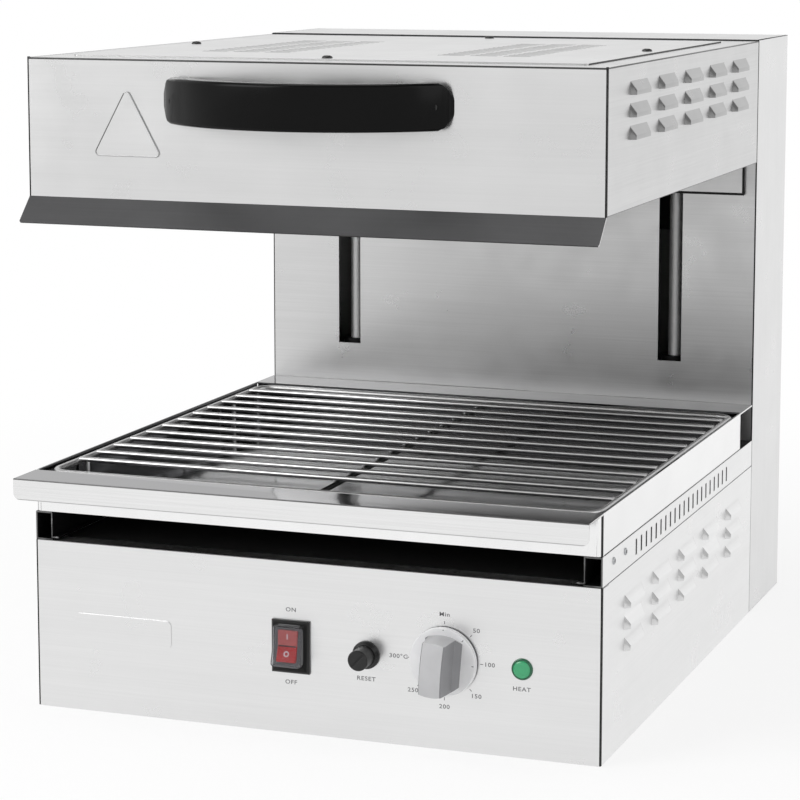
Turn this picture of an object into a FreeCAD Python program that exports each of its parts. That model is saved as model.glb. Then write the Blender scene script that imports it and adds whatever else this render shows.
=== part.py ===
import FreeCAD, Part
import math
import os
import Sketcher

# Rise-and-fall countertop grill: a control box with a pull-out pan and wire grid,
# a rear column with two guide rods, and a hood with the heating elements that slides
# up and down on them. Millimetres, +Z up, +Y towards the back, +X to the user's right.
# The origin is the middle of the flat underside.

SIZES = {
    # whole appliance
    "width": 450.0,
    "depth": 582.0,
    "height": 500.0,
    "sheet": 1.2,
    "seam": 0.4,
    "seat_gap": 0.3,
    "overrun": 4.0,
    # control box
    "box_height": 131.0,
    "box_flange": 16.0,
    "floor_flange": 15.0,
    "floor_slot_length": 60.0,
    "floor_slot_width": 6.0,
    "floor_slot_pitch": 16.0,
    "floor_slot_inset": 120.0,
    # rear column
    "column_depth": 114.0,
    "lift_slot_width": 21.0,
    "lift_slot_spacing": 300.0,
    "lift_slot_foot_room": 3.0,
    "lift_slot_head_room": 18.0,
    "rear_slot_length": 46.0,
    "rear_slot_width": 5.0,
    "rear_slot_pitch": 12.0,
    "rear_slot_column_pitch": 66.0,
    "rear_slot_drop": 170.0,
    "rear_screw_inset": 14.0,
    # louvres of the side panels
    "louvre_length": 46.0,
    "louvre_height": 10.0,
    "louvre_reach": 4.0,
    "louvre_taper": 3.5,
    "louvre_lip_height": 3.5,
    "louvre_first": 59.0,
    "louvre_pitch": 78.6,
    "louvre_row_pitch": 16.0,
    "hood_louvre_drop": 54.0,
    "box_louvre_drop": 61.0,
    # runners that carry the pan
    "runner_height": 22.0,
    "runner_width": 14.0,
    "runner_foot": 5.0,
    "runner_foot_lift": 3.0,
    "runner_slot_width": 4.0,
    "runner_slot_height": 12.0,
    "runner_slot_lift": 4.5,
    "runner_slot_first": 90.0,
    "runner_slot_pitch": 14.2,
    "runner_screw_first": 29.0,
    "runner_screw_pitch": 31.0,
    "runner_screw_lift": 13.5,
    # pan
    "pan_length": 427.0,
    "pan_height": 31.5,
    "pan_corner": 5.0,
    "pan_lip_reach": 35.0,
    "pan_lip_height": 16.0,
    "pan_lip_corner": 5.0,
    "pan_rear_gap": 2.0,
    # wire grid
    "grid_rod": 4.0,
    "grid_frame_rod": 5.0,
    "grid_leg_rod": 4.0,
    "grid_half_width": 218.0,
    "grid_front": 12.0,
    "grid_back": 421.0,
    "grid_corner": 14.0,
    "grid_first": 58.5,
    "grid_pitch": 30.3,
    "grid_drop": 1.8,
    "grid_frame_drop": 1.7,
    "grid_leg_inset": 62.0,
    # hood
    "hood_height": 105.0,
    "hood_gap": 2.0,
    "visor_reach": 18.0,
    "visor_fall": 18.0,
    "visor_corner": 1.6,
    "hood_flange": 46.0,
    "hood_side_flange": 38.0,
    "hood_side_lip": 12.0,
    "emboss": 0.8,
    "emboss_left": 54.0,
    "emboss_top": 22.0,
    "emboss_width": 56.0,
    "emboss_height": 51.0,
    "emboss_corner": 3.0,
    "pad_left": 32.0,
    "pad_bottom": 55.0,
    "pad_width": 81.0,
    "pad_height": 21.0,
    "pad_corner": 4.0,
    # top cover of the hood
    "cover_side_inset": 23.0,
    "cover_front_inset": 30.0,
    "cover_rear_inset": 38.0,
    "cover_corner": 3.0,
    "cover_screw_inset": 11.0,
    "cover_vent_inner": 60.0,
    "cover_vent_front": 112.0,
    "cover_vent_length": 21.0,
    "cover_vent_width": 5.0,
    "cover_vent_pitch": 12.0,
    "cover_vent_column_pitch": 26.0,
    # back shield of the hood
    "shield_width": 430.0,
    "shield_drop": 28.0,
    "shield_corner": 4.0,
    # reflector, insulation and heating elements
    "reflector_height": 62.0,
    "reflector_rear_gap": 26.0,
    "insulation_inset": 16.0,
    "insulation_thickness": 22.0,
    "element_rod": 8.0,
    "element_pitch": 104.0,
    "element_leg_spacing": 46.0,
    "element_lift": 30.0,
    "element_front": 42.0,
    "element_tail": 14.0,
    "element_hole_gap": 0.3,
    "rail_width": 14.0,
    "rail_thickness": 1.5,
    "rail_inset": 90.0,
    # hood handle
    "handle_width": 226.0,
    "handle_height": 34.0,
    "handle_reach": 56.0,
    "handle_thickness": 13.0,
    "handle_foot": 24.0,
    "handle_corner": 8.0,
    "handle_top_drop": 13.5,
    "handle_screw": 6.0,
    "handle_screw_head": 11.0,
    "handle_screw_head_height": 4.0,
    "handle_screw_depth": 12.0,
    # guide rods and slide blocks
    "rod": 12.0,
    "rod_setback": 20.0,
    "rod_tail": 6.0,
    "running_gap": 0.05,
    "block_width": 34.0,
    "block_depth": 26.0,
    "block_height": 80.0,
    "block_drop": 48.0,
    "block_neck_width": 13.0,
    "bushing_wall": 2.0,
    "bushing_flange": 2.5,
    "bushing_flange_height": 2.0,
    "arm_bolt": 6.0,
    "arm_bolt_head": 10.0,
    "arm_bolt_head_height": 4.0,
    "arm_bolt_inset": 15.0,
    "arm_bolt_depth": 10.0,
    "carriage_bar_height": 24.0,
    "carriage_bar_thickness": 3.0,
    "carriage_bar_overlap": 2.0,
    "hood_lowest_gap": 60.2,
    "rod_bracket_thickness": 3.0,
    "rod_bracket_reach": 44.0,
    "rod_bracket_flange": 16.0,
    "rod_bracket_drop": 12.0,
    "stop_buffer": 24.0,
    "stop_buffer_height": 10.0,
    "spring_diameter": 14.0,
    "spring_wire": 2.0,
    "spring_spacing": 190.0,
    # fasteners that show
    "screw_head": 8.0,
    "screw_head_height": 2.0,
    "screw_shank": 4.0,
    "small_screw_head": 5.6,
    "small_screw_head_height": 1.0,
    # switch
    "switch_from_middle": 14.0,
    "switch_height": 66.3,
    "switch_bezel_width": 30.0,
    "switch_bezel_height": 40.0,
    "switch_bezel_thickness": 3.0,
    "switch_bezel_corner": 1.2,
    "switch_body_width": 27.0,
    "switch_body_height": 36.0,
    "switch_body_depth": 24.0,
    "switch_opening_width": 22.6,
    "switch_opening_height": 34.0,
    "switch_opening_depth": 15.0,
    "rocker_width": 17.0,
    "rocker_height": 26.0,
    "rocker_rise": 7.5,
    "rocker_hollow": 2.2,
    "rocker_root": 6.0,
    "rocker_pivot_depth": 3.0,
    "rocker_pin": 3.0,
    "boot_wall": 1.2,
    "boot_gap": 0.3,
    "boot_lip": 1.5,
    # over-temperature reset
    "reset_from_middle": 45.7,
    "reset_height": 65.5,
    "reset_nut": 21.0,
    "reset_nut_height": 4.5,
    "reset_nut_rim": 15.0,
    "reset_nut_edge": 1.2,
    "reset_neck": 10.0,
    "reset_cap": 15.5,
    "reset_cap_height": 14.0,
    "reset_cap_edge": 0.8,
    "reset_cap_bore": 11.4,
    "reset_cap_wall": 3.0,
    "reset_cap_slot": 1.6,
    "reset_cap_slot_depth": 0.8,
    "reset_neck_reach": 8.0,
    "reset_button": 5.0,
    "reset_button_reach": 1.6,
    "reset_button_tail": 5.0,
    "reset_body_width": 36.0,
    "reset_body_depth": 20.0,
    # thermostat and knob
    "knob_from_middle": 106.5,
    "knob_height": 66.8,
    "knob_skirt": 51.2,
    "knob_skirt_height": 4.5,
    "knob_skirt_edge": 1.5,
    "knob_skirt_taper": 1.0,
    "knob_gap": 1.0,
    "knob_grip_width": 16.8,
    "knob_grip_ridge": 20.0,
    "knob_grip_base": 28.8,
    "knob_grip_length": 48.0,
    "knob_ridge_height": 5.0,
    "knob_grip_height": 26.0,
    "knob_bore_depth": 16.0,
    "shaft": 6.0,
    "shaft_tail": 8.0,
    "thermostat_width": 40.0,
    "thermostat_depth": 26.0,
    "thermostat_corner": 4.0,
    "thermostat_neck": 9.0,
    # pilot lamp
    "lamp_from_middle": 165.8,
    "lamp_height": 66.2,
    "lamp_bezel": 16.0,
    "lamp_bezel_height": 1.6,
    "lamp_lens": 13.0,
    "lamp_lens_height": 3.0,
    "lamp_holder": 11.0,
    "lamp_holder_depth": 24.0,
    # mains inlet and wiring
    "gland": 20.0,
    "gland_reach": 14.0,
    "gland_bore": 9.0,
    "gland_inset": 75.0,
    "gland_height": 45.0,
    "gland_nut": 26.0,
    "gland_nut_height": 5.0,
    "terminal_length": 60.0,
    "terminal_width": 22.0,
    "terminal_height": 20.0,
    "terminal_step_width": 7.3,
    "terminal_step_drop": 6.7,
    "terminal_setback": 60.0,
}

BOX_LOUVRE_ROW_COUNT = 3
HOOD_LOUVRE_ROW_COUNT = 3
LOUVRE_COLUMN_COUNT = 5
RUNNER_SLOT_COUNT = 21
GRID_ROD_COUNT = 12
COVER_VENT_ROW_COUNT = 18
COVER_VENT_COLUMN_COUNT = 3
FLOOR_SLOT_COUNT = 10
REAR_SLOT_ROW_COUNT = 9
REAR_SLOT_COLUMN_COUNT = 5
ELEMENT_COUNT = 4
ROCKER_TILT_ANGLE = 10.0
EMBOSS_APEX_SHARE = 0.5

doc = FreeCAD.newDocument("RiseAndFallGrill")
sheet_of_sizes = doc.addObject("Spreadsheet::Sheet", "dims")
for row_number, (alias, value) in enumerate(SIZES.items(), start=1):
    sheet_of_sizes.set(f"A{row_number}", str(value))
    sheet_of_sizes.setAlias(f"A{row_number}", alias)
doc.recompute()

pieces = []


class Size:
    """A length with its number and the formula in the sheet's cells that gives it."""

    def __init__(self, value, formula):
        self.value = float(value)
        self.formula = formula

    @staticmethod
    def of(other):
        return other if isinstance(other, Size) else Size(other, repr(float(other)))

    def joined(self, other, sign, value):
        return Size(value, f"({self.formula} {sign} {other.formula})")

    def __add__(self, other):
        other = Size.of(other)
        return self.joined(other, "+", self.value + other.value)

    def __sub__(self, other):
        other = Size.of(other)
        return self.joined(other, "-", self.value - other.value)

    def __mul__(self, other):
        other = Size.of(other)
        return self.joined(other, "*", self.value * other.value)

    def __truediv__(self, other):
        other = Size.of(other)
        return self.joined(other, "/", self.value / other.value)

    def __radd__(self, other):
        return Size.of(other) + self

    def __rsub__(self, other):
        return Size.of(other) - self

    def __rmul__(self, other):
        return Size.of(other) * self

    def __neg__(self):
        return Size(-self.value, f"(-{self.formula})")


class Dimensions:
    """The sheet's named sizes, read as attributes."""

    def __getattr__(self, name):
        return Size(SIZES[name], f"dims.{name}")


d = Dimensions()
ZERO = Size(0, "0")


def bind(thing, prop, size):
    """Ties a property to the sheet; a plain nought stays as it is."""
    size = Size.of(size)
    if "dims." in size.formula:
        thing.setExpression(prop, size.formula)
    elif size.value:
        raise ValueError(f"{thing.Name}.{prop} has a length that isn't in the sheet")


def square(size):
    return size * size


# Outlines drawn in a sketch. Each draws itself fully constrained from named sizes.


def pin_height(sketch, geometry, vertex, y, kind="DistanceY"):
    """Fixes one coordinate of a vertex of the sketch."""
    size = Size.of(y)
    index = sketch.addConstraint(Sketcher.Constraint(kind, -1, 1, geometry, vertex, size.value))
    if "dims." in size.formula:
        sketch.setExpression(f"Constraints[{index}]", size.formula)


def pin_point(sketch, geometry, vertex, x, y):
    """Fixes a vertex of the sketch at x, y from its origin."""
    pin_height(sketch, geometry, vertex, x, "DistanceX")
    pin_height(sketch, geometry, vertex, y)


def fix_radius(sketch, geometry, radius):
    index = sketch.addConstraint(Sketcher.Constraint("Radius", geometry, radius.value))
    sketch.setExpression(f"Constraints[{index}]", radius.formula)


def vector(x, y):
    return FreeCAD.Vector(Size.of(x).value, Size.of(y).value, 0)


def polyline(points, closed=True):
    """A run of straight lines through the points."""

    def draw(sketch):
        last = len(points) if closed else len(points) - 1
        lines = []
        for i in range(last):
            start, end = points[i], points[(i + 1) % len(points)]
            line = Part.LineSegment(vector(*start), vector(*end))
            lines.append(sketch.addGeometry(line))
        for i, line in enumerate(lines):
            if i + 1 < len(lines) or closed:
                follower = lines[(i + 1) % len(lines)]
                sketch.addConstraint(Sketcher.Constraint("Coincident", line, 2, follower, 1))
            pin_point(sketch, line, 1, *points[i])
        if not closed:
            pin_point(sketch, lines[-1], 2, *points[-1])

    return draw


def rectangle(left, low, right, high):
    return polyline([(left, low), (right, low), (right, high), (left, high)])


def disc(x, y, diameter):
    """A circle about x, y."""

    def draw(sketch):
        radius = diameter / 2
        circle = Part.Circle(vector(x, y), FreeCAD.Vector(0, 0, 1), radius.value)
        index = sketch.addGeometry(circle)
        fix_radius(sketch, index, radius)
        pin_point(sketch, index, 3, x, y)

    return draw


def rounded(left, low, right, high, radius):
    """A rectangle with round corners, whose first line starts at its middle."""

    def draw(sketch):
        middle = (left + right) / 2
        corners = [
            (right - radius, low + radius, -90),
            (right - radius, high - radius, 0),
            (left + radius, high - radius, 90),
            (left + radius, low + radius, 180),
        ]
        runs = [
            ((middle, low), (right - radius, low)),
            ((right, low + radius), (right, high - radius)),
            ((right - radius, high), (left + radius, high)),
            ((left, high - radius), (left, low + radius)),
            ((left + radius, low), (middle, low)),
        ]
        chain = []
        for i, (start, end) in enumerate(runs):
            line = Part.LineSegment(vector(*start), vector(*end))
            chain.append(sketch.addGeometry(line))
            if i < len(corners):
                x, y, turn = corners[i]
                circle = Part.Circle(vector(x, y), FreeCAD.Vector(0, 0, 1), radius.value)
                arc = Part.ArcOfCircle(circle, math.radians(turn), math.radians(turn + 90))
                chain.append(sketch.addGeometry(arc))
        for first, second in zip(chain, chain[1:]):
            sketch.addConstraint(Sketcher.Constraint("Coincident", first, 2, second, 1))
        sketch.addConstraint(Sketcher.Constraint("Coincident", chain[-1], 2, chain[0], 1))
        for i, (start, end) in enumerate(runs):
            pin_point(sketch, chain[2 * i], 1, *start)
            if i < len(corners):
                pin_point(sketch, chain[2 * i], 2, *end)
                fix_radius(sketch, chain[2 * i + 1], radius)

    return draw


def folded(points, thickness):
    """The section of a bent sheet: its outer face follows the points and its inner face
    lies to their right, each bend mitred."""
    directions = []
    for (x0, y0), (x1, y1) in zip(points, points[1:]):
        run_x = Size.of(x1).value - Size.of(x0).value
        run_y = Size.of(y1).value - Size.of(y0).value
        length = math.hypot(run_x, run_y)
        directions.append((run_x / length, run_y / length))
    inner = []
    for i, (x, y) in enumerate(points):
        before = directions[max(i - 1, 0)]
        after = directions[min(i, len(directions) - 1)]
        overlap = 1 + before[0] * after[0] + before[1] * after[1]
        share_x = (before[1] + after[1]) / overlap
        share_y = -(before[0] + after[0]) / overlap
        inner.append((x + share_x * thickness, y + share_y * thickness))
    return polyline(list(points) + inner[::-1])


def hairpin(left, right, near, far):
    """Two legs joined by a half turn: the line that a heating element follows."""

    def draw(sketch):
        middle = (left + right) / 2
        radius = (right - left) / 2
        first = sketch.addGeometry(Part.LineSegment(vector(left, far), vector(left, near)))
        circle = Part.Circle(vector(middle, near), FreeCAD.Vector(0, 0, 1), radius.value)
        bend = sketch.addGeometry(Part.ArcOfCircle(circle, math.pi, 2 * math.pi))
        second = sketch.addGeometry(Part.LineSegment(vector(right, near), vector(right, far)))
        sketch.addConstraint(Sketcher.Constraint("Coincident", first, 2, bend, 1))
        sketch.addConstraint(Sketcher.Constraint("Coincident", bend, 2, second, 1))
        pin_point(sketch, first, 1, left, far)
        pin_point(sketch, first, 2, left, near)
        pin_point(sketch, second, 1, right, near)
        pin_point(sketch, second, 2, right, far)
        pin_height(sketch, bend, 3, near)

    return draw


def bow(half_width, rise, base):
    """The area between a chord and the shallow arc in front of it, towards -Y."""

    def draw(sketch):
        radius = (square(half_width) + square(rise)) / (2 * rise)
        centre_y = base + radius - rise
        half_angle = math.asin(half_width.value / radius.value)
        circle = Part.Circle(vector(ZERO, centre_y), FreeCAD.Vector(0, 0, 1), radius.value)
        start, end = -math.pi / 2 - half_angle, -math.pi / 2 + half_angle
        arc = sketch.addGeometry(Part.ArcOfCircle(circle, start, end))
        chord = sketch.addGeometry(
            Part.LineSegment(vector(half_width, base), vector(-half_width, base))
        )
        sketch.addConstraint(Sketcher.Constraint("Coincident", arc, 2, chord, 1))
        sketch.addConstraint(Sketcher.Constraint("Coincident", chord, 2, arc, 1))
        pin_point(sketch, chord, 1, half_width, base)
        pin_point(sketch, chord, 2, -half_width, base)
        fix_radius(sketch, arc, radius)

    return draw


PLANES = {
    # plane: its role, its normal's sign on the world axis, and how x, y, z read on it
    "XY": ("XY_Plane", 1, lambda x, y, z: (x, y, z)),
    "XZ": ("XZ_Plane", -1, lambda x, y, z: (x, z, -y)),
    "YZ": ("YZ_Plane", 1, lambda x, y, z: (y, z, x)),
}


class Piece:
    """One physical piece, made the way a sheet-metal or moulded part is drawn."""

    def __init__(self, label):
        self.body = doc.addObject("PartDesign::Body", label)
        self.body.Label = label
        self.body.AllowCompound = True
        self.solid = None
        pieces.append(self.body)

    def sketch(self, plane, origin, outlines):
        role, _, read = PLANES[plane]
        sketch = self.body.newObject("Sketcher::SketchObject", "outline")
        feature = next(f for f in self.body.Origin.OriginFeatures if f.Role == role)
        sketch.AttachmentSupport = [(feature, "")]
        sketch.MapMode = "FlatFace"
        for axis, size in zip("xyz", read(*[Size.of(v) for v in origin])):
            bind(sketch, f"AttachmentOffset.Base.{axis}", size)
        for outline in outlines:
            outline(sketch)
        return sketch

    def feature(self, kind, name):
        made = self.body.newObject(kind, name)
        self.solid = made
        return made

    def pad(self, plane, origin, outlines, length, toward=1):
        """Adds the outlines' area, raised from the plane along its world axis."""
        sketch = self.sketch(plane, origin, outlines)
        pad = self.feature("PartDesign::Pad", "pad")
        pad.Profile = sketch
        pad.Reversed = toward * PLANES[plane][1] < 0
        bind(pad, "Length", length)
        return pad

    def pocket(self, plane, origin, outlines, length, toward=1):
        """Takes the outlines' area away, sunk from the plane along its world axis."""
        sketch = self.sketch(plane, origin, outlines)
        pocket = self.feature("PartDesign::Pocket", "pocket")
        pocket.Profile = sketch
        pocket.Reversed = toward * PLANES[plane][1] > 0
        bind(pocket, "Length", length)
        return pocket

    def revolve(self, plane, origin, outline, axis, kind="PartDesign::Revolution"):
        sketch = self.sketch(plane, origin, [outline])
        turned = self.feature(kind, "turned")
        turned.Profile = sketch
        turned.ReferenceAxis = (sketch, [axis])
        turned.Angle = 360
        return turned

    def loft(self, kind, plane, sections):
        """Joins outlines that lie on parallel planes."""
        sketches = [self.sketch(plane, origin, [outline]) for origin, outline in sections]
        loft = self.feature(kind, "loft")
        loft.Profile = sketches[0]
        loft.Sections = sketches[1:]
        loft.Ruled = True
        return loft

    def pipe(self, path, profile):
        pipe = self.feature("PartDesign::AdditivePipe", "pipe")
        pipe.Profile = profile
        pipe.Spine = path
        return pipe

    def rows(self, originals, sketch, first_axis, first_pitch, first_count, second=None):
        """Repeats features in one or two directions of a sketch."""
        pattern = self.feature("PartDesign::LinearPattern", "rows")
        pattern.Originals = originals
        pattern.Direction = (sketch, [first_axis])
        bind(pattern, "Length", first_pitch * (first_count - 1))
        pattern.Occurrences = first_count
        if second:
            second_axis, second_pitch, second_count = second
            pattern.Direction2 = (sketch, [second_axis])
            bind(pattern, "Length2", second_pitch * (second_count - 1))
            pattern.Occurrences2 = second_count
        self.body.Tip = pattern
        return pattern

    def dress(self, kind, prop, size, wanted):
        """Rounds or bevels the edges of the last feature that the test picks."""
        doc.recompute()
        base = self.solid
        names = [f"Edge{i}" for i, e in enumerate(base.Shape.Edges, start=1) if wanted(e)]
        if not names:
            raise ValueError(f"{self.body.Label}: no edge to dress")
        dressed = self.feature(kind, "dressed")
        dressed.Base = (base, names)
        bind(dressed, prop, size)
        return dressed

    def fillet(self, radius, wanted):
        return self.dress("PartDesign::Fillet", "Radius", radius, wanted)

    def chamfer(self, size, wanted):
        return self.dress("PartDesign::Chamfer", "Size", size, wanted)


def along(edge, axis):
    """True for a straight edge that lies along the axis."""
    if not isinstance(edge.Curve, Part.Line):
        return False
    direction = edge.Vertexes[-1].Point - edge.Vertexes[0].Point
    return abs(abs(direction.normalize().dot(axis)) - 1) < 1e-6


X_AXIS = FreeCAD.Vector(1, 0, 0)
Y_AXIS = FreeCAD.Vector(0, 1, 0)
Z_AXIS = FreeCAD.Vector(0, 0, 1)


def near(value, size):
    return abs(value - size.value) < 1e-4


def rod(label, x, y, low, high, diameter):
    """A plain round rod that stands upright."""
    cylinder = doc.addObject("Part::Cylinder", label)
    cylinder.Label = label
    bind(cylinder, "Radius", diameter / 2)
    bind(cylinder, "Height", high - low)
    for axis, size in zip("xyz", (x, y, low)):
        bind(cylinder, f"Placement.Base.{axis}", size)
    pieces.append(cylinder)
    return cylinder


# Places that several pieces share

front = -(d.depth / 2)
back = d.depth / 2
half_width = d.width / 2
inner_half_width = half_width - d.sheet
box_top = d.box_height
pan_seat = box_top + d.runner_height
pan_bottom = pan_seat + d.seat_gap
pan_top = pan_bottom + d.pan_height
column_face = back - d.column_depth
column_inside = column_face + d.sheet
hood_back = column_face - d.hood_gap
rim_top = d.height - d.sheet
hood_bottom = d.height - d.hood_height
shield_front = hood_back - d.sheet
hood_rear_front = shield_front - d.sheet
slot_x = d.lift_slot_spacing / 2
rod_y = column_face + d.rod_setback
block_front = rod_y - d.block_depth / 2
block_back = rod_y + d.block_depth / 2
hood_travel = hood_bottom - pan_top - d.hood_lowest_gap
block_top = d.height - d.block_drop
block_bottom = block_top - d.block_height
bar_top = block_bottom + d.carriage_bar_height
lowest_block = block_bottom - hood_travel
lift_slot_bottom = lowest_block - d.lift_slot_foot_room
lift_slot_top = block_top + d.lift_slot_head_room
stop_top = lowest_block - d.seat_gap
lower_bracket_top = stop_top - d.stop_buffer_height
upper_bracket_top = rim_top - d.rod_bracket_drop
arm_bolt_heights = (hood_bottom + d.arm_bolt_inset, block_top - d.arm_bolt_inset)
handle_top = d.height - d.handle_top_drop
handle_middle = handle_top - d.handle_height / 2
handle_screw_x = (d.handle_width - d.handle_foot) / 2
switch_x = -d.switch_from_middle
pan_back = front + d.pan_length
cross_rod_z = pan_top - d.grid_drop
frame_z = cross_rod_z - d.grid_frame_drop
middle_rod_z = cross_rod_z - d.grid_rod / 2 - d.grid_leg_rod / 2
gland_x = d.gland_inset - half_width


# Control box


def base_plate():
    """Floor tray under the box and the column, with cooling slots."""
    piece = Piece("base_plate")
    low, high = front + d.sheet, back - d.sheet
    outer = rectangle(-inner_half_width, low, inner_half_width, high)
    piece.pad("XY", (0, 0, 0), [outer], d.floor_flange)
    x = inner_half_width - d.sheet
    inner = rectangle(-x, low + d.sheet, x, high - d.sheet)
    piece.pocket("XY", (0, 0, d.sheet), [inner], d.floor_flange)
    for side in (-1, 1):
        x = side * d.floor_slot_inset
        slot = rectangle(
            x - d.floor_slot_length / 2, ZERO, x + d.floor_slot_length / 2, d.floor_slot_width
        )
        start = (0, front + d.floor_slot_inset, -d.overrun)
        pocket = piece.pocket("XY", start, [slot], d.sheet + 2 * d.overrun)
        piece.rows([pocket], pocket.Profile[0], "V_Axis", d.floor_slot_pitch, FLOOR_SLOT_COUNT)


def control_panel():
    """Front panel with a folded top edge, holes for the controls and a raised blank pad."""
    piece = Piece("control_panel")
    section = folded([(front + d.box_flange, box_top), (front, box_top), (front, ZERO)], -d.sheet)
    piece.pad("YZ", (-half_width, 0, 0), [section], d.width)
    left = -half_width + d.pad_left
    pad = rounded(
        left, d.pad_bottom, left + d.pad_width, d.pad_bottom + d.pad_height, d.pad_corner
    )
    piece.pad("XZ", (0, front, 0), [pad], d.emboss, toward=-1)
    half_body_width = d.switch_body_width / 2 + d.seat_gap
    half_body_height = d.switch_body_height / 2 + d.seat_gap
    holes = [
        rectangle(
            switch_x - half_body_width,
            d.switch_height - half_body_height,
            switch_x + half_body_width,
            d.switch_height + half_body_height,
        ),
        disc(d.reset_from_middle, d.reset_height, d.reset_neck + 2 * d.seat_gap),
        disc(d.knob_from_middle, d.knob_height, d.thermostat_neck + 2 * d.seat_gap),
        disc(d.lamp_from_middle, d.lamp_height, d.lamp_holder + 2 * d.seat_gap),
    ]
    piece.pocket("XZ", (0, front - d.overrun, 0), holes, d.sheet + 2 * d.overrun)


def louvres(piece, side, lowest, rows):
    """Pressed louvres, open below, in rows and columns on a side panel."""
    face = side * half_width
    start = front + d.louvre_first
    end = start + d.louvre_length
    lip = face + side * d.louvre_reach
    high = lowest + d.louvre_height
    outer = rectangle(start, lowest, end, high)
    outer_lip = rectangle(
        start + d.louvre_taper, lowest, end - d.louvre_taper, lowest + d.louvre_lip_height
    )
    hood = piece.loft(
        "PartDesign::AdditiveLoft",
        "YZ",
        [((face, 0, 0), outer), ((lip, 0, 0), outer_lip)],
    )
    wall = d.sheet
    inside = face - side * 2 * wall
    inner = rectangle(start + wall, lowest, end - wall, high - wall)
    inner_lip = rectangle(
        start + d.louvre_taper + wall,
        lowest,
        end - d.louvre_taper - wall,
        lowest + d.louvre_lip_height - wall,
    )
    hollow = piece.loft(
        "PartDesign::SubtractiveLoft",
        "YZ",
        [((inside, 0, 0), inner), ((lip - side * wall, 0, 0), inner_lip)],
    )
    piece.rows(
        [hood, hollow],
        hood.Profile[0],
        "H_Axis",
        d.louvre_pitch,
        LOUVRE_COLUMN_COUNT,
        ("V_Axis", d.louvre_row_pitch, rows),
    )


def side_section(side, top, bottom, flange, lip):
    """A side panel's section: a wall with a flange folded in at the top, and perhaps a lip."""
    points = [(side * (half_width - flange), top), (side * half_width, top)]
    points.append((side * half_width, bottom))
    if lip is not None:
        points.append((side * (half_width - lip), bottom))
    return folded(points, side * d.sheet)


def side_panel(side, name):
    """Louvred side of the control box."""
    piece = Piece(name)
    start = front + d.sheet + d.seam
    end = column_face - d.seam
    section = side_section(side, box_top, ZERO, d.runner_width, None)
    piece.pad("XZ", (0, start, 0), [section], end - start)
    notch = rectangle(
        side * (half_width + d.overrun),
        box_top - d.sheet,
        side * (half_width - d.runner_width - d.overrun),
        box_top + d.overrun,
    )
    piece.pocket("XZ", (0, front, 0), [notch], d.box_flange + d.seam)
    lowest = box_top - d.box_louvre_drop
    louvres(piece, side, lowest, BOX_LOUVRE_ROW_COUNT)


def deck_plate():
    """Heat shield that closes the box under the pan."""
    piece = Piece("deck_plate")
    x = inner_half_width - d.seam
    outline = rectangle(-x, front + d.sheet + d.seam, x, column_face)
    piece.pad("XY", (0, 0, box_top - 2 * d.sheet), [outline], d.sheet)


def runner(side, name):
    """Channel that carries the pan, with a row of vent slots in its outer wall."""
    piece = Piece(name)
    outer_x = side * half_width
    inner_x = side * (half_width - d.runner_width)
    foot_x = side * (half_width - d.runner_width - d.runner_foot)
    foot_z = box_top + d.runner_foot_lift
    start, end = front, column_face - d.seam
    section = folded(
        [
            (foot_x, foot_z),
            (inner_x, foot_z),
            (inner_x, pan_seat),
            (outer_x, pan_seat),
            (outer_x, box_top),
            (inner_x, box_top),
        ],
        side * d.sheet,
    )
    piece.pad("XZ", (0, start, 0), [section], end - start)
    low = box_top + d.runner_slot_lift
    first = front + d.runner_slot_first
    slot = rectangle(
        first - d.runner_slot_width / 2,
        low,
        first + d.runner_slot_width / 2,
        low + d.runner_slot_height,
    )
    face = (side * (half_width + d.overrun), 0, 0)
    depth = d.sheet + 2 * d.overrun
    pocket = piece.pocket("YZ", face, [slot], depth, toward=-side)
    piece.rows([pocket], pocket.Profile[0], "H_Axis", d.runner_slot_pitch, RUNNER_SLOT_COUNT)
    holes = [
        disc(y, box_top + d.runner_screw_lift, d.screw_shank + 2 * d.running_gap)
        for y in runner_screw_places()
    ]
    piece.pocket("YZ", face, holes, depth, toward=-side)


def runner_screw_places():
    first = front + d.runner_screw_first
    return (first, first + d.runner_screw_pitch)


def runner_screws():
    """Two screws in the outer wall of each runner."""
    piece = Piece("runner_screws")
    for side in (-1, 1):
        heads = []
        shanks = []
        for y in runner_screw_places():
            z = box_top + d.runner_screw_lift
            heads.append(disc(y, z, d.small_screw_head))
            shanks.append(disc(y, z, d.screw_shank))
        face = (side * half_width, 0, 0)
        piece.pad("YZ", face, heads, d.small_screw_head_height, toward=side)
        piece.pad("YZ", face, shanks, d.screw_shank, toward=-side)


# Rear column


def column_front():
    """Front wall of the column, with a slot for each slide block."""
    piece = Piece("column_front")
    low = box_top - 2 * d.sheet
    wall = rectangle(-inner_half_width, low, inner_half_width, rim_top)
    piece.pad("XZ", (0, column_face, 0), [wall], d.sheet)
    slots = [
        rectangle(
            side * slot_x - d.lift_slot_width / 2,
            lift_slot_bottom,
            side * slot_x + d.lift_slot_width / 2,
            lift_slot_top,
        )
        for side in (-1, 1)
    ]
    piece.pocket("XZ", (0, column_face - d.overrun, 0), slots, d.sheet + 2 * d.overrun)


def column_side(side, name):
    """Flat side of the column."""
    piece = Piece(name)
    wall = rectangle(column_face, ZERO, back, d.height)
    piece.pad("YZ", (side * inner_half_width, 0, 0), [wall], d.sheet, toward=side)


def column_top():
    """Lid of the column, with its front edge folded down."""
    piece = Piece("column_top")
    lid = rectangle(-inner_half_width, column_face, inner_half_width, back)
    piece.pad("XY", (0, 0, rim_top), [lid], d.sheet)


def rear_screw_places():
    x = inner_half_width - d.rear_screw_inset
    low = d.floor_flange + d.rear_screw_inset
    high = rim_top - d.rear_screw_inset
    return [(side * x, z) for side in (-1, 1) for z in (low, (low + high) / 2, high)]


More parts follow.
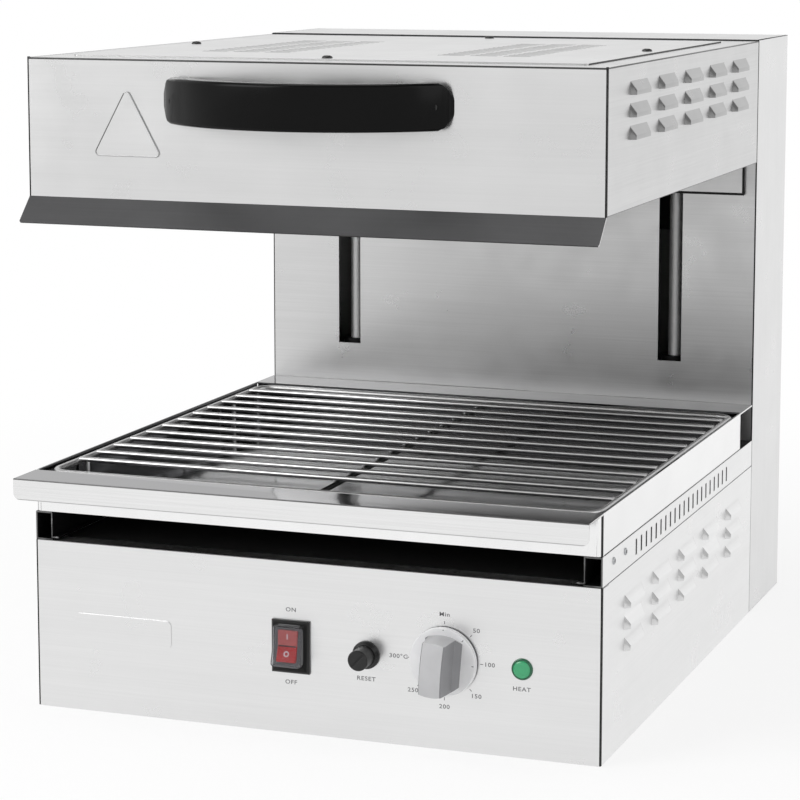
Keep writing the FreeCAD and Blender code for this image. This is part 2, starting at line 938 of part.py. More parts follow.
def rear_cover():
    """Screwed back of the column, with vent slots and the cable inlet."""
    piece = Piece("rear_cover")
    wall = rectangle(-inner_half_width, ZERO, inner_half_width, rim_top)
    piece.pad("XZ", (0, back - d.sheet, 0), [wall], d.sheet)
    holes = [disc(x, z, d.screw_shank + 2 * d.running_gap) for x, z in rear_screw_places()]
    holes.append(disc(gland_x, d.gland_height, d.gland))
    start = (0, back - d.sheet - d.overrun, 0)
    piece.pocket("XZ", start, holes, d.sheet + 2 * d.overrun)
    left = -(REAR_SLOT_COLUMN_COUNT - 1) * d.rear_slot_column_pitch / 2
    low = d.height - d.rear_slot_drop
    slot = rectangle(
        left - d.rear_slot_length / 2,
        low,
        left + d.rear_slot_length / 2,
        low + d.rear_slot_width,
    )
    pocket = piece.pocket("XZ", start, [slot], d.sheet + 2 * d.overrun)
    piece.rows(
        [pocket],
        pocket.Profile[0],
        "H_Axis",
        d.rear_slot_column_pitch,
        REAR_SLOT_COLUMN_COUNT,
        ("V_Axis", d.rear_slot_pitch, REAR_SLOT_ROW_COUNT),
    )


def rear_cover_screws():
    piece = Piece("rear_cover_screws")
    heads = [disc(x, z, d.screw_head) for x, z in rear_screw_places()]
    shanks = [disc(x, z, d.screw_shank) for x, z in rear_screw_places()]
    piece.pad("XZ", (0, back, 0), heads, d.screw_head_height)
    crown = back + d.screw_head_height
    piece.chamfer(d.screw_head_height / 2, lambda e: near(e.BoundBox.YMin, crown))
    piece.pad("XZ", (0, back, 0), shanks, d.screw_shank, toward=-1)


def rod_bracket(name, top):
    """Angle across the column that holds the two guide rods."""
    piece = Piece(name)
    reach = column_inside + d.rod_bracket_reach
    points = [(column_inside, top), (reach, top), (reach, top - d.rod_bracket_flange)]
    section = folded(points, d.rod_bracket_thickness)
    piece.pad("YZ", (-inner_half_width, 0, 0), [section], 2 * inner_half_width)
    holes = [disc(side * slot_x, rod_y, d.rod + 2 * d.running_gap) for side in (-1, 1)]
    depth = d.rod_bracket_thickness + 2 * d.overrun
    piece.pocket("XY", (0, 0, top + d.overrun), holes, depth, toward=-1)


def guide_rods():
    low = lower_bracket_top - d.rod_bracket_thickness - d.rod_tail
    high = upper_bracket_top + d.rod_tail
    for side, name in ((-1, "guide_rod_left"), (1, "guide_rod_right")):
        rod(name, side * slot_x, rod_y, low, high, d.rod)


def stop_buffers():
    """Rubber rings on the rods that the slide blocks come down on."""
    piece = Piece("stop_buffers")
    for side in (-1, 1):
        ring = [
            disc(side * slot_x, rod_y, d.stop_buffer),
            disc(side * slot_x, rod_y, d.rod + 2 * d.running_gap),
        ]
        piece.pad("XY", (0, 0, lower_bracket_top), ring, d.stop_buffer_height)


def lift_springs():
    """Counterbalance springs, hung from the upper bracket, that carry the hood."""
    spring_y = block_back + d.carriage_bar_thickness / 2
    low = bar_top + d.seat_gap
    high = upper_bracket_top - d.rod_bracket_thickness
    for side, name in ((-1, "lift_spring_left"), (1, "lift_spring_right")):
        piece = Piece(name)
        x = side * d.spring_spacing / 2
        ring = [
            disc(x, spring_y, d.spring_diameter),
            disc(x, spring_y, d.spring_diameter - 2 * d.spring_wire),
        ]
        piece.pad("XY", (0, 0, low), ring, high - low)


# Controls and wiring


def switch_housing():
    """Switch body in the panel with its raised bezel and the well of the rocker."""
    piece = Piece("switch_housing")
    bezel = rectangle(
        switch_x - d.switch_bezel_width / 2,
        d.switch_height - d.switch_bezel_height / 2,
        switch_x + d.switch_bezel_width / 2,
        d.switch_height + d.switch_bezel_height / 2,
    )
    piece.pad("XZ", (0, front, 0), [bezel], d.switch_bezel_thickness, toward=-1)
    outer = front - d.switch_bezel_thickness
    piece.chamfer(
        d.switch_bezel_corner,
        lambda e: near(e.BoundBox.YMax, outer),
    )
    body = rectangle(
        switch_x - d.switch_body_width / 2,
        d.switch_height - d.switch_body_height / 2,
        switch_x + d.switch_body_width / 2,
        d.switch_height + d.switch_body_height / 2,
    )
    piece.pad("XZ", (0, front, 0), [body], d.switch_body_depth)
    well = rectangle(
        switch_x - d.switch_opening_width / 2,
        d.switch_height - d.switch_opening_height / 2,
        switch_x + d.switch_opening_width / 2,
        d.switch_height + d.switch_opening_height / 2,
    )
    depth = d.switch_opening_depth + d.switch_bezel_thickness + d.overrun
    piece.pocket("XZ", (0, outer - d.overrun, 0), [well], depth)


def rocker_outline(grow, root):
    """A rocker's section about its pivot, its two faces meeting in a shallow valley."""
    half = d.rocker_height / 2 + grow
    ends = -d.rocker_pivot_depth - d.rocker_rise - grow
    valley = ends + d.rocker_hollow
    return polyline([(root, -half), (ends, -half), (valley, ZERO), (ends, half), (root, half)])


def tilt(piece):
    """Turns a rocker piece about its pivot to the position in which it rests."""
    placement = piece.body
    for axis, size in zip("xyz", (switch_x, front + d.rocker_pivot_depth, d.switch_height)):
        bind(placement, f"Placement.Base.{axis}", size)
    placement.Placement = FreeCAD.Placement(
        placement.Placement.Base, FreeCAD.Rotation(X_AXIS, -ROCKER_TILT_ANGLE)
    )


def switch_rocker():
    """Rocker with a pivot pin through it, resting with its upper half pressed in."""
    piece = Piece("switch_rocker")
    start = (-d.rocker_width / 2, 0, 0)
    piece.pad("YZ", start, [rocker_outline(ZERO, d.rocker_root)], d.rocker_width)
    pin_length = d.switch_opening_width - 2 * d.seat_gap
    piece.pad("YZ", (-pin_length / 2, 0, 0), [disc(ZERO, ZERO, d.rocker_pin)], pin_length)
    tilt(piece)


def switch_boot():
    """Clear splash boot over the rocker."""
    piece = Piece("switch_boot")
    grow = d.boot_gap + d.boot_wall
    root = -d.rocker_pivot_depth - d.boot_lip
    width = d.rocker_width + 2 * grow
    piece.pad("YZ", (-width / 2, 0, 0), [rocker_outline(grow, root)], width)
    inner = d.rocker_width + 2 * d.boot_gap
    hollow = rocker_outline(d.boot_gap, root + d.overrun)
    piece.pocket("YZ", (-inner / 2, 0, 0), [hollow], inner)
    tilt(piece)


def limiter_body():
    """Over-temperature cut-out behind the panel, with its threaded neck."""
    piece = Piece("limiter_body")
    x, z = d.reset_from_middle, d.reset_height
    half = d.reset_body_width / 2
    body = rectangle(x - half, z - half, x + half, z + half)
    piece.pad("XZ", (0, front + d.sheet, 0), [body], d.reset_body_depth)
    neck = disc(x, z, d.reset_neck)
    piece.pad("XZ", (0, front + d.sheet, 0), [neck], d.reset_neck_reach + d.sheet, toward=-1)
    bore = disc(x, z, d.reset_button + 2 * d.running_gap)
    depth = d.reset_neck_reach + d.reset_body_depth / 2
    piece.pocket("XZ", (0, front - d.reset_neck_reach - d.overrun, 0), [bore], depth + d.overrun)


def limiter_nut():
    """Round nut that holds the cut-out in the panel."""
    piece = Piece("limiter_nut")
    x, z = d.reset_from_middle, d.reset_height
    ring = [disc(x, z, d.reset_nut), disc(x, z, d.reset_neck + 2 * d.running_gap)]
    piece.pad("XZ", (0, front, 0), ring, d.reset_nut_height, toward=-1)
    face = front - d.reset_nut_height
    piece.chamfer(
        d.reset_nut_edge,
        lambda e: near(e.BoundBox.YMax, face) and e.Length > (3 * d.reset_nut_rim).value,
    )


def reset_button():
    """Button in the neck of the cut-out, under the cap."""
    piece = Piece("reset_button")
    button = disc(d.reset_from_middle, d.reset_height, d.reset_button)
    tip = front - d.reset_neck_reach - d.reset_button_reach
    length = d.reset_button_reach + d.reset_neck_reach + d.reset_button_tail
    piece.pad("XZ", (0, tip, 0), [button], length)


def reset_cap():
    """Screw cap over the reset button, with a coin slot across its face."""
    piece = Piece("reset_cap")
    x, z = d.reset_from_middle, d.reset_height
    seat = front - d.reset_nut_height - d.seat_gap
    face = seat - d.reset_cap_height
    piece.pad("XZ", (0, seat, 0), [disc(x, z, d.reset_cap)], d.reset_cap_height, toward=-1)
    piece.chamfer(d.reset_cap_edge, lambda e: near(e.BoundBox.YMax, face))
    bore = disc(x, z, d.reset_cap_bore)
    depth = d.reset_cap_height - d.reset_cap_wall
    piece.pocket("XZ", (0, seat + d.overrun, 0), [bore], depth + d.overrun, toward=-1)
    across = d.reset_cap / 2 / math.sqrt(2)
    wide = d.reset_cap_slot / 2 / math.sqrt(2)
    slot = polyline(
        [
            (x - across - wide, z - across + wide),
            (x - across + wide, z - across - wide),
            (x + across + wide, z + across - wide),
            (x + across - wide, z + across + wide),
        ]
    )
    start = (0, face - d.overrun, 0)
    piece.pocket("XZ", start, [slot], d.reset_cap_slot_depth + d.overrun)


def thermostat_body():
    """Capillary thermostat behind the panel, with the neck that its shaft turns in."""
    piece = Piece("thermostat_body")
    x, z = d.knob_from_middle, d.knob_height
    half = d.thermostat_width / 2
    body = rectangle(x - half, z - half, x + half, z + half)
    piece.pad("XZ", (0, front + d.sheet, 0), [body], d.thermostat_depth)
    piece.fillet(d.thermostat_corner, lambda e: along(e, Y_AXIS))
    neck = disc(x, z, d.thermostat_neck)
    piece.pad("XZ", (0, front + d.sheet, 0), [neck], d.sheet, toward=-1)
    bore = disc(x, z, d.shaft + 2 * d.running_gap)
    start = (0, front - d.overrun, 0)
    piece.pocket("XZ", start, [bore], d.sheet + d.shaft_tail + d.seat_gap + d.overrun)


def thermostat_shaft():
    """Shaft from the thermostat into the knob."""
    piece = Piece("thermostat_shaft")
    shaft = disc(d.knob_from_middle, d.knob_height, d.shaft)
    tip = front - d.knob_gap - d.knob_bore_depth + d.seat_gap
    end = front + d.sheet + d.shaft_tail
    piece.pad("XZ", (0, tip, 0), [shaft], end - tip)


def control_knob():
    """Dial knob: a round skirt and a bar to grip it by, which flares towards the skirt and has
    round ends."""
    piece = Piece("control_knob")
    x, z = d.knob_from_middle, d.knob_height
    seat = front - d.knob_gap
    skirt_face = seat - d.knob_skirt_height
    radius = d.knob_skirt / 2
    outline = polyline(
        [
            (ZERO, ZERO),
            (radius, ZERO),
            (radius, -d.knob_skirt_edge),
            (radius - d.knob_skirt_taper, -d.knob_skirt_height),
            (ZERO, -d.knob_skirt_height),
        ]
    )
    piece.revolve("XY", (x, seat, z), outline, "V_Axis")
    grip_face = skirt_face - d.knob_grip_height
    flare = skirt_face - d.knob_ridge_height
    base, ridge, top = d.knob_grip_base / 2, d.knob_grip_ridge / 2, d.knob_grip_width / 2
    section = polyline(
        [
            (x - base, skirt_face),
            (x - ridge, flare),
            (x - top, grip_face),
            (x + top, grip_face),
            (x + ridge, flare),
            (x + base, skirt_face),
        ]
    )
    piece.pad("XY", (0, 0, z - radius), [section], 2 * radius)
    ends = [disc(x, z, d.knob_grip_length), disc(x, z, 2 * d.knob_skirt)]
    piece.pocket("XZ", (0, skirt_face, 0), ends, d.knob_grip_height + d.overrun, toward=-1)
    bore = disc(x, z, d.shaft + 2 * d.running_gap)
    piece.pocket("XZ", (0, seat, 0), [bore], d.knob_bore_depth, toward=-1)


def pilot_lamp():
    """Signal lamp: holder, bezel and domed lens."""
    x, z = d.lamp_from_middle, d.lamp_height
    holder = Piece("lamp_holder")
    depth = d.lamp_holder_depth + d.sheet
    holder.pad("XZ", (0, front, 0), [disc(x, z, d.lamp_holder)], depth)
    bezel = Piece("lamp_bezel")
    ring = [disc(x, z, d.lamp_bezel), disc(x, z, d.lamp_lens + 2 * d.running_gap)]
    bezel.pad("XZ", (0, front, 0), ring, d.lamp_bezel_height, toward=-1)
    lens = Piece("lamp_lens")
    lens.pad("XZ", (0, front, 0), [disc(x, z, d.lamp_lens)], d.lamp_lens_height, toward=-1)
    face = front - d.lamp_lens_height
    lens.chamfer(d.lamp_lens_height / 2, lambda e: near(e.BoundBox.YMax, face))


def cable_gland():
    """Gland in the rear cover where the mains lead comes in."""
    piece = Piece("cable_gland")
    centre = (gland_x, d.gland_height)
    nut = disc(*centre, d.gland_nut)
    piece.pad("XZ", (0, back, 0), [nut], d.gland_nut_height)
    stem = disc(*centre, d.gland - 2 * d.running_gap)
    piece.pad("XZ", (0, back, 0), [stem], d.gland_reach)
    rim = back + d.gland_reach
    piece.chamfer(d.gland_nut_height / 2, lambda e: near(e.BoundBox.YMin, rim))
    inner_length = d.sheet + d.gland_nut_height
    piece.pad("XZ", (0, back, 0), [stem], inner_length, toward=-1)
    bore = disc(*centre, d.gland_bore)
    start = (0, back - inner_length - d.overrun, 0)
    piece.pocket("XZ", start, [bore], inner_length + d.gland_reach + 2 * d.overrun)


def terminal_block():
    """Screw terminals on the floor behind the gland."""
    piece = Piece("terminal_block")
    low = back - d.terminal_setback - d.terminal_width
    outline = rectangle(
        gland_x - d.terminal_length / 2,
        low,
        gland_x + d.terminal_length / 2,
        low + d.terminal_width,
    )
    piece.pad("XY", (0, 0, d.sheet), [outline], d.terminal_height)
    step = d.terminal_step_width
    top = d.sheet + d.terminal_height
    for y in (low, low + d.terminal_width - step):
        ledge = rectangle(
            gland_x - d.terminal_length, y, gland_x + d.terminal_length, y + step
        )
        piece.pocket("XY", (0, 0, top), [ledge], d.terminal_step_drop, toward=-1)


# Hood


def hood_front():
    """Front of the hood with its top flange, the slanted visor and a raised blank triangle."""
    piece = Piece("hood_front")
    points = [
        (front + d.hood_flange, rim_top),
        (front, rim_top),
        (front, hood_bottom),
        (front - d.visor_reach, hood_bottom - d.visor_fall),
    ]
    piece.pad("YZ", (-half_width, 0, 0), [folded(points, -d.sheet)], d.width)
    low_limit = hood_bottom - d.visor_fall
    piece.fillet(
        d.visor_corner,
        lambda e: near(abs(e.BoundBox.Center.x), half_width)
        and e.BoundBox.XLength < 1e-6
        and e.Length < 2 * d.sheet.value
        and e.BoundBox.ZMin < (low_limit + d.sheet).value,
    )
    left = -half_width + d.emboss_left
    top = d.height - d.emboss_top
    bottom = top - d.emboss_height
    apex = left + EMBOSS_APEX_SHARE * d.emboss_width
    outline = polyline([(left, bottom), (left + d.emboss_width, bottom), (apex, top)])
    piece.pad("XZ", (0, front, 0), [outline], d.emboss, toward=-1)
    raised = front - d.emboss
    piece.fillet(
        d.emboss_corner,
        lambda e: along(e, Y_AXIS)
        and near(e.BoundBox.YMin, raised)
        and near(e.BoundBox.YMax, front),
    )
    holes = [
        disc(side * handle_screw_x, handle_middle, d.handle_screw + 2 * d.running_gap)
        for side in (-1, 1)
    ]
    piece.pocket("XZ", (0, front - d.overrun, 0), holes, d.sheet + 2 * d.overrun)


def hood_side(side, name):
    """Louvred side of the hood, with a top flange and the lip that the reflector sits on."""
    piece = Piece(name)
    start = front + d.sheet + d.seam
    section = side_section(side, rim_top, hood_bottom, d.hood_side_flange, d.hood_side_lip)
    piece.pad("XZ", (0, start, 0), [section], hood_back - start)
    notch = rectangle(
        side * (half_width + d.overrun),
        rim_top - d.sheet,
        side * (half_width - d.hood_side_flange - d.overrun),
        rim_top + d.overrun,
    )
    piece.pocket("XZ", (0, front, 0), [notch], d.hood_flange + d.seam)
    rear_notch = rectangle(
        side * inner_half_width,
        hood_bottom - d.overrun,
        side * (half_width - d.hood_side_flange - d.overrun),
        rim_top + d.overrun,
    )
    start = (0, hood_rear_front - d.seam, 0)
    piece.pocket("XZ", start, [rear_notch], 2 * d.sheet + d.seam + d.overrun)
    lowest = rim_top - d.hood_louvre_drop
    louvres(piece, side, lowest, HOOD_LOUVRE_ROW_COUNT)


def hood_rear():
    """Rear wall of the hood, with the flange under the back of the cover."""
    piece = Piece("hood_rear")
    flange_front = hood_back - d.cover_rear_inset - 2 * d.cover_screw_inset
    points = [(shield_front, hood_bottom), (shield_front, rim_top), (flange_front, rim_top)]
    x = inner_half_width - d.seam
    piece.pad("YZ", (-x, 0, 0), [folded(points, -d.sheet)], 2 * x)
    flange_x = half_width - d.hood_side_flange - d.seam
    for side in (-1, 1):
        notch = rectangle(
            side * flange_x,
            flange_front - d.overrun,
            side * half_width,
            shield_front - d.sheet,
        )
        start = (0, 0, rim_top + d.overrun)
        piece.pocket("XY", start, [notch], d.sheet + d.overrun, toward=-1)
    piece.pocket(
        "XZ",
        (0, hood_rear_front - d.overrun, 0),
        arm_bolt_holes(),
        d.sheet + 2 * d.overrun,
    )


def arm_bolt_places():
    return [(side * slot_x, z) for side in (-1, 1) for z in arm_bolt_heights]


def arm_bolt_holes():
    return [disc(x, z, d.arm_bolt + 2 * d.running_gap) for x, z in arm_bolt_places()]


def hood_back_shield():
    """Plate behind the hood that hangs below it and covers the column slots."""
    piece = Piece("hood_back_shield")
    x = d.shield_width / 2
    low = hood_bottom - d.shield_drop
    plate = rounded(-x, low, x, rim_top - d.sheet, d.shield_corner)
    piece.pad("XZ", (0, shield_front, 0), [plate], d.sheet)
    start = (0, shield_front - d.overrun, 0)
    piece.pocket("XZ", start, arm_bolt_holes(), d.sheet + 2 * d.overrun)


def cover_box():
    x = half_width - d.cover_side_inset
    return -x, front + d.cover_front_inset, x, hood_back - d.cover_rear_inset


def cover_screw_places():
    left, low, right, high = cover_box()
    inset = d.cover_screw_inset
    return [
        (left + inset, (low + high) / 2),
        (right - inset, (low + high) / 2),
        (ZERO, low + inset),
        (ZERO, high - inset),
    ]


def hood_cover():
    """Lid of the hood with two fields of vent slots."""
    piece = Piece("hood_cover")
    piece.pad("XY", (0, 0, rim_top), [rounded(*cover_box(), d.cover_corner)], d.sheet)
    holes = [disc(x, y, d.screw_shank + 2 * d.running_gap) for x, y in cover_screw_places()]
    top = (0, 0, d.height + d.overrun)
    depth = d.sheet + 2 * d.overrun
    piece.pocket("XY", top, holes, depth, toward=-1)
    low = front + d.cover_vent_front
    for side in (-1, 1):
        inner = d.cover_vent_inner
        if side < 0:
            columns = COVER_VENT_COLUMN_COUNT - 1
            inner = -(inner + d.cover_vent_length + columns * d.cover_vent_column_pitch)
        slot = rectangle(inner, low, inner + d.cover_vent_length, low + d.cover_vent_width)
        pocket = piece.pocket("XY", top, [slot], depth, toward=-1)
        piece.rows(
            [pocket],
            pocket.Profile[0],
            "V_Axis",
            d.cover_vent_pitch,
            COVER_VENT_ROW_COUNT,
            ("H_Axis", d.cover_vent_column_pitch, COVER_VENT_COLUMN_COUNT),
        )


def hood_cover_screws():
    piece = Piece("hood_cover_screws")
    heads = [disc(x, y, d.screw_head) for x, y in cover_screw_places()]
    shanks = [disc(x, y, d.screw_shank) for x, y in cover_screw_places()]
    piece.pad("XY", (0, 0, d.height), heads, d.screw_head_height)
    crown = d.height + d.screw_head_height
    piece.chamfer(d.screw_head_height / 2, lambda e: near(e.BoundBox.ZMin, crown))
    piece.pad("XY", (0, 0, d.height), shanks, d.sheet, toward=-1)


def reflector_box():
    x = inner_half_width - d.seat_gap
    return -x, front + d.sheet + d.seat_gap, x, hood_rear_front - d.reflector_rear_gap


def element_legs():
    """X of each heating element's two legs."""
    legs = []
    for i in range(ELEMENT_COUNT):
        middle = (i - (ELEMENT_COUNT - 1) / 2) * d.element_pitch
        legs.append((middle - d.element_leg_spacing / 2, middle + d.element_leg_spacing / 2))
    return legs


def reflector():
    """Bright tray over the elements, open below, that stands on the side panels' lips."""
    piece = Piece("reflector")
    left, low, right, high = reflector_box()
    bottom = hood_bottom + d.sheet
    piece.pad("XY", (0, 0, bottom), [rectangle(left, low, right, high)], d.reflector_height)
    inner = rectangle(left + d.sheet, low + d.sheet, right - d.sheet, high - d.sheet)
    start = (0, 0, bottom - d.overrun)
    depth = d.reflector_height - d.sheet + d.overrun
    piece.pocket("XY", start, [inner], depth)
    holes = [
        disc(x, hood_bottom + d.element_lift, d.element_rod + 2 * d.element_hole_gap)
        for legs in element_legs()
        for x in legs
    ]
    start = (0, high - d.sheet - d.overrun, 0)
    piece.pocket("XZ", start, holes, d.sheet + 2 * d.overrun)


def hood_insulation():
    """Fibre slab on the reflector."""
    piece = Piece("hood_insulation")
    left, low, right, high = reflector_box()
    inset = d.insulation_inset
    slab = rounded(left + inset, low + inset, right - inset, high - inset, inset)
    top = hood_bottom + d.sheet + d.reflector_height
    piece.pad("XY", (0, 0, top), [slab], d.insulation_thickness)


def heating_element(number, legs):
    """Hairpin heating element with both ends at the back of the reflector."""
    piece = Piece(f"heating_element_{number}")
    left, right = legs
    z = hood_bottom + d.element_lift
    near_y = front + d.element_front + d.element_leg_spacing / 2
    far_y = reflector_box()[3] + d.element_tail
    path = piece.sketch("XY", (0, 0, z), [hairpin(left, right, near_y, far_y)])
    profile = piece.sketch("XZ", (0, far_y, 0), [disc(left, z, d.element_rod)])
    piece.pipe(path, profile)


def element_rails():
    """Strips under the elements, from one wall of the reflector to the other."""
    piece = Piece("element_rails")
    _, low, x, high = reflector_box()
    wide = x - d.sheet
    top = hood_bottom + d.element_lift - d.element_rod / 2 - d.seat_gap
    strips = [
        rectangle(-wide, y - d.rail_width / 2, wide, y + d.rail_width / 2)
        for y in (low + d.rail_inset, high - d.rail_inset)
    ]
    piece.pad("XY", (0, 0, top), strips, d.rail_thickness, toward=-1)


def hood_handle():
    """Bow handle across the hood's front."""
    piece = Piece("hood_handle")
    half = d.handle_width / 2
    low = handle_top - d.handle_height
    block = rounded(-half, low, half, handle_top, d.handle_corner)
    piece.pad("XZ", (0, front, 0), [block], d.handle_reach, toward=-1)
    margin = d.overrun
    radius = (square(half) + square(d.handle_reach)) / (2 * d.handle_reach)
    outside = piece.sketch(
        "XY", (0, 0, low - margin), [handle_trim(half, d.handle_reach, radius, margin)]
    )
    trim = piece.feature("PartDesign::Pocket", "trim")
    trim.Profile = outside
    trim.Reversed = True
    bind(trim, "Length", d.handle_height + 2 * margin)
    gap_half = half - d.handle_foot
    gap_rise = d.handle_reach - d.handle_thickness
    piece.pocket(
        "XY",
        (0, 0, low - margin),
        [bow(gap_half, gap_rise, front)],
        d.handle_height + 2 * margin,
    )
    holes = [disc(side * handle_screw_x, handle_middle, d.handle_screw) for side in (-1, 1)]
    piece.pocket("XZ", (0, front, 0), holes, d.handle_screw_depth, toward=-1)


def handle_trim(half, rise, radius, margin):
    """Everything in front of the handle's outer arc."""

    def draw(sketch):
        centre_y = front + radius - rise
        half_angle = math.asin(half.value / radius.value)
        circle = Part.Circle(vector(ZERO, centre_y), FreeCAD.Vector(0, 0, 1), radius.value)
        start, end = -math.pi / 2 - half_angle, -math.pi / 2 + half_angle
        arc = sketch.addGeometry(Part.ArcOfCircle(circle, start, end))
        far = front - rise - margin
        wide = half + margin
        points = [(half, front), (wide, front), (wide, far), (-wide, far), (-wide, front)]
        points.append((-half, front))
        lines = []
        for first, second in zip(points, points[1:]):
            lines.append(sketch.addGeometry(Part.LineSegment(vector(*first), vector(*second))))
        for first, second in zip(lines, lines[1:]):
            sketch.addConstraint(Sketcher.Constraint("Coincident", first, 2, second, 1))
        sketch.addConstraint(Sketcher.Constraint("Coincident", arc, 2, lines[0], 1))
        sketch.addConstraint(Sketcher.Constraint("Coincident", arc, 1, lines[-1], 2))
        for line, point in zip(lines, points):
            pin_point(sketch, line, 1, *point)
        pin_point(sketch, lines[-1], 2, *points[-1])
        fix_radius(sketch, arc, radius)

    return draw


def handle_screws():
    """Screws from inside the hood into the handle's feet."""
    piece = Piece("handle_screws")
    places = [(side * handle_screw_x, handle_middle) for side in (-1, 1)]
    inside = front + d.sheet
    heads = [disc(x, z, d.handle_screw_head) for x, z in places]
    piece.pad("XZ", (0, inside, 0), heads, d.handle_screw_head_height)
    shanks = [disc(x, z, d.handle_screw - 2 * d.running_gap) for x, z in places]
    length = d.sheet + d.handle_screw_depth - d.seat_gap
    piece.pad("XZ", (0, inside, 0), shanks, length, toward=-1)


def slide_block(side, name):
    """Block behind the column's slot that carries the hood on a guide rod."""
    piece = Piece(name)
    x = side * slot_x
    half = d.block_width / 2
    neck = d.block_neck_width / 2
    outline = polyline(
        [
            (x - neck, hood_back),
            (x + neck, hood_back),
            (x + neck, block_front),
            (x + half, block_front),
            (x + half, block_back),
            (x - half, block_back),
            (x - half, block_front),
            (x - neck, block_front),
        ]
    )
    bore = disc(x, rod_y, d.rod + 2 * d.bushing_wall + 4 * d.running_gap)
    piece.pad("XY", (0, 0, block_bottom), [outline, bore], d.block_height)
    piece.fillet(d.bushing_wall, lambda e: along(e, Z_AXIS) and near(e.BoundBox.YMax, block_back))
    holes = [disc(x, z, d.arm_bolt + 2 * d.running_gap) for z in arm_bolt_heights]
    start = (0, hood_back - d.overrun, 0)
    piece.pocket("XZ", start, holes, d.arm_bolt_depth + d.overrun)


def rod_bushings():
    """Flanged sleeves between the slide blocks and their rods."""
    piece = Piece("rod_bushings")
    for side in (-1, 1):
        x = side * slot_x
        bore = disc(x, rod_y, d.rod + 2 * d.running_gap)
        sleeve = d.rod + 2 * d.running_gap + 2 * d.bushing_wall
        piece.pad("XY", (0, 0, block_bottom), [disc(x, rod_y, sleeve), bore], d.block_height)
        flange = disc(x, rod_y, sleeve + 2 * d.bushing_flange)
        piece.pad("XY", (0, 0, block_top), [flange, bore], d.bushing_flange_height)


def arm_bolts():
    """Bolts from inside the hood into the slide blocks."""
    piece = Piece("arm_bolts")
    heads = [disc(x, z, d.arm_bolt_head) for x, z in arm_bolt_places()]
    shanks = [disc(x, z, d.arm_bolt) for x, z in arm_bolt_places()]
    piece.pad("XZ", (0, hood_rear_front, 0), heads, d.arm_bolt_head_height, toward=-1)
    length = 2 * d.sheet + d.arm_bolt_depth - d.seat_gap
    piece.pad("XZ", (0, hood_rear_front, 0), shanks, length)


def carriage_bar():
    """Bar that ties the two slide blocks together and takes the springs."""
    piece = Piece("carriage_bar")
    x = slot_x + d.block_width / 2 - d.carriage_bar_overlap
    bar = rounded(-x, block_bottom, x, bar_top, d.carriage_bar_overlap)
    piece.pad("XZ", (0, block_back, 0), [bar], d.carriage_bar_thickness)


# Pan and grid


def drip_pan():
    """Pull-out pan with a folded front lip and a flange that reaches back to the column."""
    piece = Piece("drip_pan")
    outer = rounded(-half_width, front, half_width, pan_back, d.pan_corner)
    piece.pad("XY", (0, 0, pan_bottom), [outer], d.pan_height)
    x = inner_half_width
    inner = rounded(-x, front + d.sheet, x, pan_back - d.sheet, d.pan_corner - d.sheet)
    piece.pocket("XY", (0, 0, pan_bottom + d.sheet), [inner], d.pan_height + d.overrun)
    lip_front = front - d.pan_lip_reach
    lip_low = pan_top - d.pan_lip_height
    points = [(front + d.sheet, pan_top), (lip_front, pan_top), (lip_front, lip_low)]
    piece.pad("YZ", (-half_width, 0, 0), [folded(points, -d.sheet)], d.width)
    piece.fillet(
        d.pan_lip_corner,
        lambda e: along(e, Y_AXIS) and near(e.BoundBox.ZMax, lip_low),
    )
    flange_end = column_face - d.pan_rear_gap
    flange_start = pan_back - d.pan_corner
    flange = rectangle(-half_width, flange_start, half_width, flange_end)
    notch = rectangle(-x, flange_start - d.overrun, x, pan_back - d.sheet)
    rear = piece.pad("XY", (0, 0, pan_top), [flange], d.sheet, toward=-1)
    start = (0, 0, pan_top + d.overrun)
    piece.pocket("XY", start, [notch], d.sheet + 2 * d.overrun, toward=-1)


def grid_frame():
    """Bent frame rod of the grid, with its middle rod and four legs."""
    piece = Piece("grid_frame")
    x = d.grid_half_width
    low, high = front + d.grid_front, front + d.grid_back
    path = piece.sketch("XY", (0, 0, frame_z), [rounded(-x, low, x, high, d.grid_corner)])
    profile = piece.sketch("YZ", (0, 0, 0), [disc(low, frame_z, d.grid_frame_rod)])
    piece.pipe(path, profile)
    middle = disc(ZERO, middle_rod_z, d.grid_leg_rod)
    piece.pad("XZ", (0, low, 0), [middle], high - low)
    floor = pan_bottom + d.sheet + d.seat_gap
    feet = [
        disc(side * x, y, d.grid_leg_rod)
        for side in (-1, 1)
        for y in (low + d.grid_leg_inset, high - d.grid_leg_inset)
    ]
    piece.pad("XY", (0, 0, floor), feet, frame_z - floor)


def grid_cross_rods():
    """Cross rods that end on the frame rod and rest on the middle rod, spot-welded to both."""
    piece = Piece("grid_cross_rods")
    x = d.grid_half_width - d.grid_frame_rod / 2
    first = disc(front + d.grid_first, cross_rod_z, d.grid_rod)
    cross = piece.pad("YZ", (-x, 0, 0), [first], 2 * x)
    piece.rows([cross], cross.Profile[0], "H_Axis", d.grid_pitch, GRID_ROD_COUNT)


